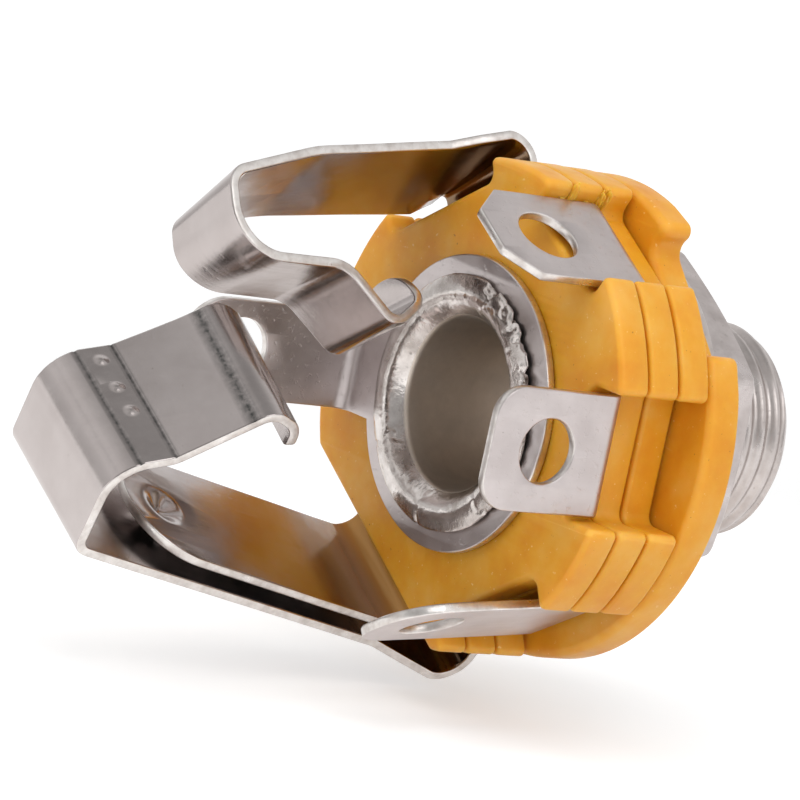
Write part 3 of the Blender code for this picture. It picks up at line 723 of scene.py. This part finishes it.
def sheared_edge():
    """The cut edge of the strip: bright, with faint bands and tears across it."""
    made, tree, shader = new_material("sheared_edge")
    places = in_millimetres(tree)
    grain = noise_at(tree, places, 1.6, 3.0, 0.6)
    colour = ramp(
        tree,
        grain,
        [(0.3, (0.56, 0.51, 0.48)), (0.55, (0.74, 0.70, 0.67)), (0.75, (0.84, 0.81, 0.79))],
    )
    tree.links.new(colour, shader.inputs["Base Color"])
    shader.inputs["Metallic"].default_value = 1.0
    tree.links.new(ramp(tree, grain, [(0.3, 0.42), (0.7, 0.26)]), shader.inputs["Roughness"])
    tree.links.new(bump(tree, grain, 0.35, 0.05), shader.inputs["Normal"])
    return made


def turned_nickel(name, light, dark, roughness, ripple, blotch, grain=(7.0, 7.0, 0.0)):
    """Turned and plated brass, with tool marks under a mottled plate.

    grain says how fine the marks are away from the axis, along it and round it."""
    made, tree, shader = new_material(name)
    places = in_millimetres(tree)
    cloud = noise_at(tree, places, 0.9, 4.0, 0.6)
    colour = ramp(tree, cloud, [(0.3, dark), (0.7, light)])
    specks = ramp(tree, noise_at(tree, places, 4.2, 3.0), [(0.28, 1.0), (0.36, 0.0)])
    colour = mix(tree, math_node(tree, "MULTIPLY", specks, blotch), colour, TURNED_SPECK)
    tree.links.new(colour, shader.inputs["Base Color"])
    shader.inputs["Metallic"].default_value = 1.0
    rough = ramp(tree, cloud, [(0.3, roughness[1]), (0.7, roughness[0])])
    tree.links.new(rough, shader.inputs["Roughness"])
    split = node(tree, "SeparateXYZ", Vector=places)
    across, along, high = split.outputs["X"], split.outputs["Y"], split.outputs["Z"]
    squares = [math_node(tree, "POWER", side, 2.0) for side in (across, high)]
    away = math_node(tree, "SQRT", math_node(tree, "ADD", *squares))
    about = math_node(tree, "ARCTAN2", high, across)
    round_places = node(tree, "CombineXYZ", X=away, Y=along, Z=about).outputs["Vector"]
    fine = node(tree, "VectorMath", {"operation": "MULTIPLY"})
    tree.links.new(round_places, fine.inputs[0])
    fine.inputs[1].default_value = grain
    marks = bump(tree, noise_at(tree, fine.outputs["Vector"], 1.0, 3.0), ripple, 0.02)
    dents = bump(tree, noise_at(tree, places, 1.8, 4.0, 0.65), blotch * 0.6, 0.06, marks)
    tree.links.new(dents, shader.inputs["Normal"])
    return made


AMBER = amber_nylon()
SPRING = nickel_strip(
    "spring_nickel", (0.53, 0.48, 0.465), (0.47, 0.42, 0.405), (0.13, 0.24), unevenness=0.18, pits=0.06
)
LUG = nickel_strip(
    "lug_nickel", (0.62, 0.565, 0.555), (0.52, 0.465, 0.455), (0.30, 0.44), unevenness=0.65, pits=0.35
)
EDGE = sheared_edge()
TURNED = turned_nickel(
    "turned_nickel", (0.62, 0.57, 0.55), (0.48, 0.43, 0.41), (0.24, 0.42), ripple=0.3, blotch=0.25
)
DRAWN = turned_nickel(
    "drawn_nickel", (0.60, 0.545, 0.53), (0.45, 0.40, 0.385), (0.24, 0.40),
    ripple=0.7, blotch=0.2, grain=(1.5, 0.3, 30.0),
)
LIP = turned_nickel(
    "swaged_nickel", (0.78, 0.73, 0.70), (0.42, 0.37, 0.34), (0.14, 0.32),
    ripple=0.8, blotch=0.5, grain=(2.5, 2.5, 16.0),
)
# Painted light: the bore's nickel is a lighter, warmer copy of the turned nickel, which brightens the shaded
# bore; its rougher, plainer finish is its own.
PAINTED_LIGHT_BORE = turned_nickel(
    "bore_nickel", (0.70, 0.62, 0.545), (0.60, 0.53, 0.465), (0.38, 0.48), ripple=0.10, blotch=0.02
)


# Insulators

def stand_up(made, place):
    """Turns a plate drawn in plan to stand across the axis."""
    for vert in made.verts:
        x, z, w = vert.co
        vert.co = (x, place + w, z)
    face_outwards(made)


def wafer_shape():
    flat = WAFER_RADIUS - 1.95
    inner = LUG_BEND + 0.05
    notches = [
        (RING_STATION, 6.9, WAFER_RADIUS - 1.65),
        (TIP_STATION, 2 * math.sqrt(WAFER_RADIUS**2 - flat**2), flat),
        (TIP_LUG_STATION, 6.4, TIP_LUG_OFFSET - inner),
        (SWITCH_LUG_STATION, 5.3, SWITCH_LUG_OFFSET - inner),
        (RING_LUG_STATION, 5.3, RING_LUG_OFFSET - inner),
    ]
    return rounded_loop(notched_disc(WAFER_RADIUS, notches, 5.0), 0.45)


def plan_cutter(outline, floor):
    """A cutter for the front of a wafer, from a floor forwards."""
    depth = 2 * POCKET_DEPTH
    made = rounded_plate([outline], depth, (0.01, 0.01), 1)
    stand_up(made, floor + depth / 2)
    return made


def add_flash(made):
    """Torn lumps of moulding left across the wafers' edges, beside the ring lug.

    A lump is (place along the axis, place away from it, half length, half height)."""
    out, across = station_axes(RING_LUG_STATION)
    lug_side = 2.62
    half_width = 0.16
    lumps = [
        (-4.64, 9.05, 0.17, 0.62),
        (-5.0, 8.72, 0.24, 0.20),
        (-3.72, 8.75, 0.26, 0.17),
        (-3.2, 8.95, 0.13, 0.55),
        (-2.9, 9.1, 0.12, 0.5),
    ]
    for along, away, length, height in lumps:
        centre = out * away - across * lug_side + Vector((0, along, 0))
        for vert in bmesh.ops.create_icosphere(made, subdivisions=4, radius=1.0)["verts"]:
            swell = 1 + 0.45 * noise.noise(vert.co * 1.7 + centre)
            spread = Vector((0, length, 0)) * vert.co.y + out * height * vert.co.z
            spread += across * half_width * vert.co.x
            vert.co = centre + spread * swell


def make_wafer(node_name, place, edges, seed):
    """A wafer whose rim stands forward of a pocket for the contact in front of it."""
    loops = [wafer_shape(), circle(STACK_BORE)[::-1]]
    made = rounded_plate(loops, WAFER_THICKNESS + POCKET_DEPTH, edges)
    stand_up(made, place + POCKET_DEPTH / 2)
    floor = place + WAFER_THICKNESS / 2
    cutters = [plan_cutter(circle(POCKET_RADIUS), floor)]
    if node_name == "front_wafer":
        half, inside, outside = 5.55, 5.1, 10.2
        corners = [(-half, inside), (-half, outside), (half, outside), (half, inside)]
        turned = [polar(math.hypot(v, r), TIP_STATION - math.degrees(math.atan2(v, r))) for v, r in corners]
        cutters.append(plan_cutter(turned, floor))
    made = carve(made, cutters)
    if node_name == "rear_wafer":
        add_flash(made)
    wobble(made, 0.02, 2.5, seed, 0.1)
    piece = finish_piece(node_name + "_moulding", made, [AMBER], 50)
    weigh_normals(piece)
    settle(piece, "socket", "amber", node_name)


def make_flange():
    key = [(KEY_STATION, 5.6, FLANGE_RADIUS - 1.75)]
    recess = COLLAR_RADIUS + 0.03
    loops = [rounded_loop(notched_disc(FLANGE_RADIUS, key, 10.0), 1.0), circle(recess)[::-1]]
    made = rounded_plate(loops, FLANGE_THICKNESS, (0.15, 0.35), 4)
    stand_up(made, -FLANGE_THICKNESS / 2)
    floor = COLLAR_REAR - 0.03
    rear = -FLANGE_THICKNESS
    boss_rear = REAR_WAFER - WAFER_THICKNESS / 2
    shoulder = recess + 0.05
    boss = [(shoulder, floor), (shoulder, rear), (BOSS_RADIUS, rear)]
    boss += [(BOSS_RADIUS, boss_rear), (BOSS_BORE, boss_rear), (BOSS_BORE, floor)]
    lathe(made, boss)
    face_outwards(made)
    piece = finish_piece("front_insulator_moulding", made, [AMBER], 50)
    weigh_normals(piece)
    settle(piece, "socket", "amber", "front_insulator")


def settle(piece, body, slot, *replaced):
    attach(piece, body)
    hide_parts(*replaced)


# Contacts

def lug_end(width, tip, corner, chamfered):
    """The outline of a lug's end, from its right side round to its left."""
    half = width / 2
    if chamfered:
        points = [(tip - corner, -half), (tip, corner - half), (tip, half - corner), (tip - corner, half)]
        return eased(points)
    made = arc((tip - corner, corner - half), corner, -90, 0, 10)
    return made + arc((tip - corner, half - corner), corner, 0, 90, 10)


def eased(points, radius=0.3, steps=4):
    """An open outline with its inner corners rounded."""
    made = [points[0]]
    for before, corner, after in zip(points, points[1:], points[2:]):
        made += corner_points(before, corner, after, radius, steps)
    return made + [points[-1]]


def make_terminal(
    node_name, angle, plane, ring, bore, offset, width, length, corner,
    chamfered=False, bend=LUG_BEND, lean=0.0,
):
    """A contact's plate and solder lug, stamped as one blank and bent."""
    tip_along = STACK_REAR - length
    reach = plane - tip_along
    rise = reach * math.tan(math.radians(lean))
    path = bent_path([(plane, 0.0, 0.0), (plane, offset, bend), (tip_along, offset + rise, 0.0)])
    tip = path_length(path)
    half = width / 2
    start = math.degrees(math.asin(half / ring))
    outline = arc((0, 0), ring, start, 360 - start, 90)
    outline += lug_end(width, tip, corner, chamfered)
    hole = circle(HOLE_RADIUS, (tip - HOLE_INSET, 0), 48)
    made = rounded_plate([outline, circle(bore, steps=96)[::-1], hole[::-1]], STRIP, STRIP_EDGES, 2)
    cut_across(made, bend_lines(path, ring * 0.9))
    mark_blank(made)
    bend_blank(made, path, angle)
    wobble(made, 0.025, 3.0, angle / 30)
    piece = finish_piece(node_name + "_contact", made, [LUG, EDGE])
    weigh_normals(piece)
    settle(piece, "socket", "terminal", node_name)


def strip_outline(right, left, end):
    """A strip's outline from its (u, half width) places on each side and the points of its end."""
    return [(u, -half) for u, half in right] + end + [(u, half) for u, half in reversed(left)]


def make_spring(name, node_name, angle, plane, corners, shape, amber_reflection=False):
    """A contact spring drawn as one strip, from its root in the stack out along its arm.

    shape gives the outline of the blank, its domes, its creases and its extra moves, for a path's length and
    the marks of its bends."""
    path = bent_path([(plane, SPRING_ROOT, 0.0)] + corners)
    outline, domes, creases, shift = shape(path_length(path), bend_marks(path))
    made = rounded_plate([outline], STRIP, STRIP_EDGES, 2, domes)
    clear = [(centre[0], radius + 0.02) for centre, radius, _ in domes]
    lines = [u for u in bend_lines(path, 0.01) if all(abs(u - at) > reach for at, reach in clear)]
    cut_across(made, lines)
    press_creases(made, creases)
    root, bent = bend_marks(path)[0]
    # Painted shade at the root: a dark brown reflection of the shaded wafer face.
    paint_root_reflection(made, root, bent + 0.8)
    # The leaf's root gets a painted amber reflection instead of bright metal.
    if amber_reflection:
        paint_root_reflection(made, root, bent + 1.6, "amber_reflection")
    mark_blank(made)
    bend_blank(made, path, angle, shift)
    wobble(made, 0.03, 3.5, angle / 30 + 1)
    piece = finish_piece(name, made, [SPRING, EDGE])
    weigh_normals(piece)
    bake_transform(piece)
    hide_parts(node_name)
    return piece


def make_ring_spring():
    fold = STACK_REAR - 11.23
    knee, back, near = 9.2, 4.55, 2.15
    corners = [
        (RING_PLANE, 10.75, 0.9),
        (STACK_REAR - 6.98, knee, 6.0),
        (fold, 7.85, 0.9),
        (fold, back, 2.0),
        (fold + 5.0, back, 1.6),
        (STACK_REAR - 4.08, 2.25, 0.7),
        (STACK_REAR - 2.63, 3.4, 0.9),
        (STACK_REAR - 2.78, 4.9, 0.0),
    ]
    slope = math.tan(math.radians(RING_TWIST))

    def twist(_, v, along, away):
        share = min(1, max(0, (RING_PLANE - along) / 1.6))
        share *= min(1, max(0, (away - back) / (knee - back)))
        return 0.0, (v - near) * slope * share

    def shape(length, marks):
        bent = marks[0][1]
        root = [(0.0, 2.85), (bent, 2.85)]
        end = arc((length - near, 0), near, -90, 90, 24)
        outline = strip_outline(root + [(bent + 13.0, near)], root + [(bent + 2.6, near)], end)
        return outline, [], [], twist

    make_spring(
        "ring_contact_spring", "ring_spring", RING_STATION, RING_PLANE, corners, shape
    )


def make_tip_spring():
    corners = [
        (TIP_PLANE, 11.65, 1.2),
        (STACK_REAR - 15.78, 6.55, 0.7),
        (STACK_REAR - 16.23, 2.4, 1.8),
        (STACK_REAR - 13.83, 1.6, 1.2),
        (STACK_REAR - 10.68, -1.2, 0.9),
        (STACK_REAR - 9.38, -0.55, 0.9),
        (STACK_REAR - 9.23, 0.4, 0.0),
    ]
    half, corner = 3.15, 0.3

    def shape(length, marks):
        root = marks[0][1]
        heel_end, step, dip = marks[2][1], sum(marks[3]) / 2, marks[4][0]

        def skew(u, v, *_):
            share = smooth_step((u - root - 6) / 8) - smooth_step((u - heel_end) / 4)
            return -0.075 * (v + half) * share, 0.0

        sides = [(0.0, 4.75), (2.45, 4.15), (root, 4.15), (root + 2.8, half)]
        end = arc((length - corner, corner - half), corner, -90, 0, 4)
        end += arc((length - corner, half - corner), corner, 0, 90, 4)
        band = heel_end - 0.35
        # Each crease paints shade in its groove and beyond it, standing for dark reflections.
        creases = [
            (band - 0.85, 0.10, 0.015, 0.14, 0.06),
            (band, 0.10, 0.04, 0.9, 0.08),
            (step, 0.10, 0.04, 0.9, 0.0),
            (dip - 0.25, 0.22, 0.02, 1.0, 0.10),
        ]
        bumps = [(((band + step) / 2, v), 0.38, -0.11) for v in (2.35, 0.85, -0.45)]
        return strip_outline(sides, sides, end), bumps, creases, skew

    make_spring("tip_contact_spring", "tip_spring", TIP_STATION, TIP_PLANE, corners, shape)


def make_leaf():
    root = SWITCH_PLANE
    tip = STACK_REAR - 12.38
    drop = (root - tip) * math.tan(math.radians(LEAF_SLOPE))
    corners = [(root, LEAF_OFFSET, 1.0), (tip, LEAF_OFFSET - drop, 0.0)]
    half = 2.8

    def shape(length, _):
        outline = strip_outline([(0.0, half)], [(0.0, half)], arc((length - half, 0), half, -90, 90, 32))
        return outline, [((length - 2.0, 0.0), 1.1, -0.42)], [], None

    # The leaf's root gets a painted amber reflection.
    make_spring(
        "switch_leaf_spring", "switch_leaf", TIP_STATION, SWITCH_PLANE, corners, shape,
        amber_reflection=True,
    )


# Bush and panel hardware

def thread_profile(share):
    """The depth of a thread below its crest, from none to full, over one pitch."""
    flank = 0.34
    into = (share - 0.12) / flank
    out = 1.0 - (share - 0.60) / flank
    return max(0.0, min(1.0, into, out))


def make_thread(made, rear, front):
    """The helical thread from the seat to the nose, as rows that follow the helix."""
    turns = math.ceil((front - rear) / THREAD_PITCH) + 2
    rows = []
    for j in range(turns * THREAD_SAMPLES + 1):
        row = []
        depth = THREAD_DEPTH * thread_profile((j % THREAD_SAMPLES) / THREAD_SAMPLES)
        for i in range(BUSH_STEPS + 1):
            along = rear + (j / THREAD_SAMPLES - 1 + i / BUSH_STEPS) * THREAD_PITCH
            ends = min(1.0, max(0.0, (front - along) / NOSE_RUN))
            runout = smooth_step((along - rear) / THREAD_RUNOUT)
            radius = THREAD_RADIUS - depth * runout
            radius = min(radius, THREAD_RADIUS - NOSE_INSET * (1 - ends))
            if along >= front:
                radius = THREAD_RADIUS - NOSE_INSET
            if along <= rear:
                radius = THREAD_RADIUS
            turn = 2 * math.pi * i / BUSH_STEPS
            along = min(front, max(rear, along))
            row.append(made.verts.new((radius * math.cos(turn), along, radius * math.sin(turn))))
        rows.append(row)
    for row, after in zip(rows, rows[1:]):
        for i in range(BUSH_STEPS):
            made.faces.new((row[i], row[i + 1], after[i + 1], after[i]))


def lip_uneven(radius, along, turn):
    """The lip was rolled over with a punch, so it waves and cracks, and on one side its rim is torn."""
    share = smooth_step((radius - 3.6) / 0.3) if along < STACK_REAR + 0.1 else 0.0
    place = Vector((math.cos(turn), math.sin(turn), radius * 0.2)) * 3.0
    broad = noise.noise(place * 0.8 + Vector((4.0, 0, 0)))
    fine = noise.noise(place * 3.1)
    grain = noise.noise(place * 7.0 + Vector((0, 0, radius * 2)))
    rim = smooth_step((radius - 4.3) / 0.6)
    torn = smooth_step(1.25 - abs(turn - LIP_TORN) / 0.75)
    crack = max(max(0.0, 1 - abs(turn + 0.12 * fine - at) / 0.035) for at in LIP_CRACKS)
    bite = max(0.0, noise.noise(place * 4.0 + Vector((0, 9.0, 0))) - 0.1)
    radius += share * rim * (0.07 * broad + 0.02 * grain - torn * (0.08 + 0.6 * bite) - 0.10 * crack)
    lift = 0.03 * broad + 0.015 * fine + 0.010 * grain + torn * (0.02 * grain - 0.05 * rim)
    return radius, along + share * (lift + 0.05 * crack)


def make_bush():
    made = bmesh.new()
    swaged = [(4.02, -6.5), (4.7, -6.51), (5.1, -6.56), (5.2, -6.62), (5.16, -6.70), (4.98, -6.79)]
    swaged += [(4.72, -6.89), (4.45, -6.95), (4.2, -6.91), (4.0, -6.79), (3.83, -6.62), (3.69, -6.45)]
    lip = smooth_curve(swaged + [(3.6, -6.33)], 4)
    mouth = [(3.57, -6.29), (3.54, -6.24), (3.51, -6.1)]
    mouth += [(3.44, -5.2), (3.36, -4.2), (3.28, -3.2), (BORE_RADIUS, -2.2)]
    collar_edge = 0.1
    shank = [
        (THREAD_RADIUS - NOSE_INSET, THREAD_LENGTH),
        (THREAD_RADIUS, COLLAR_FRONT),
        (COLLAR_RADIUS - collar_edge, COLLAR_FRONT),
        (COLLAR_RADIUS, COLLAR_FRONT - collar_edge),
        (COLLAR_RADIUS, COLLAR_REAR),
        (TUBE_RADIUS, COLLAR_REAR),
        (TUBE_RADIUS, -6.4),
    ]
    bore = [(BORE_RADIUS, -1.2 + 1.1 * k) for k in range(8)]
    bore += [(BORE_RADIUS, THREAD_LENGTH - 0.35), (BORE_RADIUS + 0.3, THREAD_LENGTH)]
    lathe_open(made, shank[1:] + lip, lip_uneven, len(shank) - 1, finish=1)
    lathe_open(made, lip[-1:] + mouth + bore + shank[:1], None, 0, finish=2)
    make_thread(made, COLLAR_FRONT, THREAD_LENGTH)
    bmesh.ops.remove_doubles(made, verts=made.verts, dist=0.002)
    bmesh.ops.dissolve_degenerate(made, edges=made.edges, dist=0.0005)
    face_outwards(made)
    piece = finish_piece("threaded_bush_turning", made, [TURNED, LIP, PAINTED_LIGHT_BORE], 40)
    settle(piece, "socket", "nickel", "threaded_bush")


def make_washer():
    made = bmesh.new()
    bulge = 0.3
    profile = []
    for radius, along in (
        (WASHER_RADIUS, WASHER_FRONT),
        (WASHER_RADIUS, WASHER_REAR),
        (WASHER_BORE, WASHER_REAR),
        (WASHER_BORE, WASHER_FRONT),
    ):
        outer = radius == WASHER_RADIUS
        front = along == WASHER_FRONT
        inwards = -WASHER_EDGE if outer else WASHER_EDGE
        under = -WASHER_EDGE if front else WASHER_EDGE
        middle = (radius + inwards * bulge, along + under * bulge)
        corner = [(radius + inwards, along), middle, (radius, along + under)]
        profile += corner if outer == front else corner[::-1]
    lathe(made, profile)
    face_outwards(made)
    piece = finish_piece("panel_washer_ring", made, [TURNED], 50)
    settle(piece, "washer", "nickel", "panel_washer")


def make_nut():
    made = bmesh.new()
    flat = NUT_FLATS / 2
    ease = flat - NUT_EASE
    mouth = NUT_BORE + NUT_MOUTH
    slant = math.tan(math.radians(NUT_SLANT))
    rows = [[] for _ in range(10)]
    for i in range(NUT_STEPS):
        turn = 360 * i / NUT_STEPS
        across = (turn - NUT_TURN) % 60 - 30
        hexagon = min(flat / math.cos(math.radians(across)), flat / math.cos(math.radians(30)) - 0.06)
        drop = max(0.0, hexagon - ease) * slant
        side = [(mouth, 0.0), (ease, 0.0), (hexagon - 0.1, drop - 0.04), (hexagon, drop + 0.08)]
        profile = [(radius, NUT_FRONT - under) for radius, under in side]
        profile += [(radius, NUT_REAR + under) for radius, under in reversed(side)]
        profile += [(NUT_BORE, NUT_REAR + NUT_MOUTH), (NUT_BORE, NUT_FRONT - NUT_MOUTH)]
        for row, (radius, along) in zip(rows, profile):
            x, z = polar(radius, turn)
            row.append(made.verts.new((x, along, z)))
    for row, after in zip(rows, rows[1:] + rows[:1]):
        join_rings(made, row, after)
    face_outwards(made)
    piece = finish_piece("panel_nut_hexagon", made, [DRAWN], 28)
    settle(piece, "nut", "nickel", "panel_nut")


# Stage

def look(eye, right, up):
    """A camera's place from its eye and the directions of its picture."""
    right = Vector(right).normalized()
    back = right.cross(Vector(up)).normalized()
    above = back.cross(right)
    turn = Matrix((right, above, back)).transposed().to_4x4()
    return Matrix.Translation(Vector(eye) * MM) @ turn


def make_camera():
    lens = bpy.data.cameras.new("camera")
    lens.lens = 202.4
    lens.sensor_width = 36.0
    lens.clip_start = 0.01
    camera = new_object("camera", lens)
    camera.matrix_world = look(
        eye=(141.45, -114.73, 26.13), right=(0.5609, 0.8023, 0.2042), up=(-0.2387, -0.0794, 0.9679)
    )
    bpy.context.scene.camera = camera


def area_light(name, place, target, width, height, power, mirrored=True):
    lamp = bpy.data.lights.new(name, "AREA")
    lamp.shape = "RECTANGLE"
    lamp.size = width * MM
    lamp.size_y = height * MM
    lamp.energy = power
    obj = new_object(name, lamp)
    obj.location = Vector(place) * MM
    aim = (Vector(target) - Vector(place)).to_track_quat("-Z", "Y")
    obj.rotation_euler = aim.to_euler()
    obj.visible_glossy = mirrored


def background_ray(tree):
    """One for a ray from the camera, off metal or through glass, which sees the white background."""
    path = node(tree, "LightPath")
    seen = math_node(tree, "MAXIMUM", path.outputs["Is Camera Ray"], path.outputs["Is Glossy Ray"])
    return math_node(tree, "MAXIMUM", seen, path.outputs["Is Transmission Ray"]), path


def card(tree, places, side, stops):
    """A card in the room, which shades what is mirrored from one side."""
    facing = node(tree, "VectorMath", {"operation": "DOT_PRODUCT"})
    tree.links.new(places, facing.inputs[0])
    facing.inputs[1].default_value = side
    return ramp(tree, facing.outputs["Value"], stops)


def mix_shaders(tree, factor, first, second):
    made = node(tree, "MixShader")
    for value, socket in zip((factor, first.outputs[0], second.outputs[0]), made.inputs):
        tree.links.new(value, socket)
    return made


def make_world():
    """A plain white light. Metal sees a tent that is open at the top, with a card at each side."""
    world = bpy.data.worlds.new("studio")
    bpy.context.scene.world = world
    world.use_nodes = True
    tree = world.node_tree
    base = tree.nodes["Background"]
    base.inputs["Color"].default_value = (1.0, 1.0, 1.0, 1)
    base.inputs["Strength"].default_value = 0.62
    seen, path = background_ray(tree)
    places = node(tree, "TexCoord").outputs["Generated"]
    height = node(tree, "SeparateXYZ", Vector=places).outputs["Z"]
    tent = ramp(
        tree,
        math_node(tree, "ADD", math_node(tree, "MULTIPLY", height, 0.5), 0.5),
        [(0.0, 0.9), (0.5, 1.0), (0.75, 0.92), (0.854, 0.90), (0.933, 0.68), (0.975, 0.50), (1.0, 0.42)],
    )
    dark_card = card(tree, places, (0.767, -0.627, 0.142), [(0.55, 1.0), (0.85, 0.45)])
    pale_card = card(tree, places, (-0.767, -0.627, -0.142), [(0.72, 1.0), (0.93, 0.70)])
    cards = mix(tree, 1.0, dark_card, pale_card, "MULTIPLY")
    room_light = node(tree, "Background", Color=mix(tree, 1.0, tent, cards, "MULTIPLY"), Strength=1.0)
    white = node(tree, "Background", Color=(1, 1, 1, 1), Strength=1.0)
    shown = mix_shaders(tree, path.outputs["Is Camera Ray"], room_light, white)
    both = mix_shaders(tree, seen, base, shown)
    tree.links.new(both.outputs[0], tree.nodes["World Output"].inputs["Surface"])


def make_floor():
    made = bmesh.new()
    bmesh.ops.create_grid(made, x_segments=24, y_segments=24, size=FLOOR_HALF)
    low = cad_box[0][2] / MM - FLOOR_DROP
    for vert in made.verts:
        vert.co.z = low
    finish, tree, shader = new_material("pale_floor")
    shader.inputs["Base Color"].default_value = FLOOR_COLOUR
    shader.inputs["Roughness"].default_value = 0.9
    seen, _ = background_ray(tree)
    glow = node(tree, "Emission", Color=(1, 1, 1, 1))
    spread = node(tree, "VectorMath", {"operation": "LENGTH"})
    tree.links.new(in_millimetres(tree), spread.inputs[0])
    reach = math_node(tree, "DIVIDE", spread.outputs["Value"], GLOW_REACH)
    # Painted light on the floor: its glow is stronger close under the object, which pales the object's
    # shadow, weaker in a ring further out that the springs mirror, and stronger again far off.
    painted_floor_glow = ramp(tree, reach, [(0.10, 0.34), (0.25, 0.21), (0.5, 0.38), (1.0, 0.50)])
    tree.links.new(math_node(tree, "MULTIPLY", seen, painted_floor_glow), glow.inputs["Strength"])
    both = node(tree, "AddShader")
    tree.links.new(shader.outputs[0], both.inputs[0])
    tree.links.new(glow.outputs[0], both.inputs[1])
    tree.links.new(both.outputs[0], tree.nodes["Material Output"].inputs["Surface"])
    finish_piece("floor", made, [finish])


make_camera()
make_world()
make_floor()
area_light("top_softbox", (60, -60, 220), (0, -8, 0), 200, 160, power=0.19, mirrored=False)
area_light("side_softbox", (190, -20, 150), (0, -8, 0), 140, 140, power=0.095)
area_light("rear_softbox", (-20, -220, 150), (0, -8, 0), 140, 140, power=0.125, mirrored=False)
area_light("low_fill", (210, -60, 25), (0, -4, -4), 120, 60, power=0.075, mirrored=False)

make_flange()
make_wafer("front_wafer", FRONT_WAFER, (0.15, 0.18), 1)
make_wafer("middle_wafer", MIDDLE_WAFER, (0.15, 0.18), 2)
make_wafer("rear_wafer", REAR_WAFER, (0.15, 0.25), 3)
make_terminal(
    "sleeve_terminal", SLEEVE_STATION, SLEEVE_PLANE, SLEEVE_RING_RADIUS, BOSS_BORE, SLEEVE_LUG_OFFSET,
    width=4.1, length=8.38, corner=1.97, bend=0.8,
)
make_terminal(
    "switch_terminal", SWITCH_LUG_STATION, SWITCH_PLANE, PLATE_RADIUS, STACK_BORE, SWITCH_LUG_OFFSET,
    width=4.9, length=4.18, corner=1.3,
)
make_terminal(
    "ring_terminal", RING_LUG_STATION, RING_PLANE, PLATE_RADIUS, STACK_BORE, RING_LUG_OFFSET,
    width=4.9, length=3.38, corner=1.3, chamfered=True,
)
make_terminal(
    "tip_terminal", TIP_LUG_STATION, TIP_PLANE, PLATE_RADIUS, STACK_BORE, TIP_LUG_OFFSET,
    width=4.7, length=5.08, corner=2.1, lean=5.0,
)
make_ring_spring()
make_tip_spring()
make_leaf()
make_bush()
make_washer()
make_nut()

bpy.context.scene.view_settings.view_transform = "Standard"
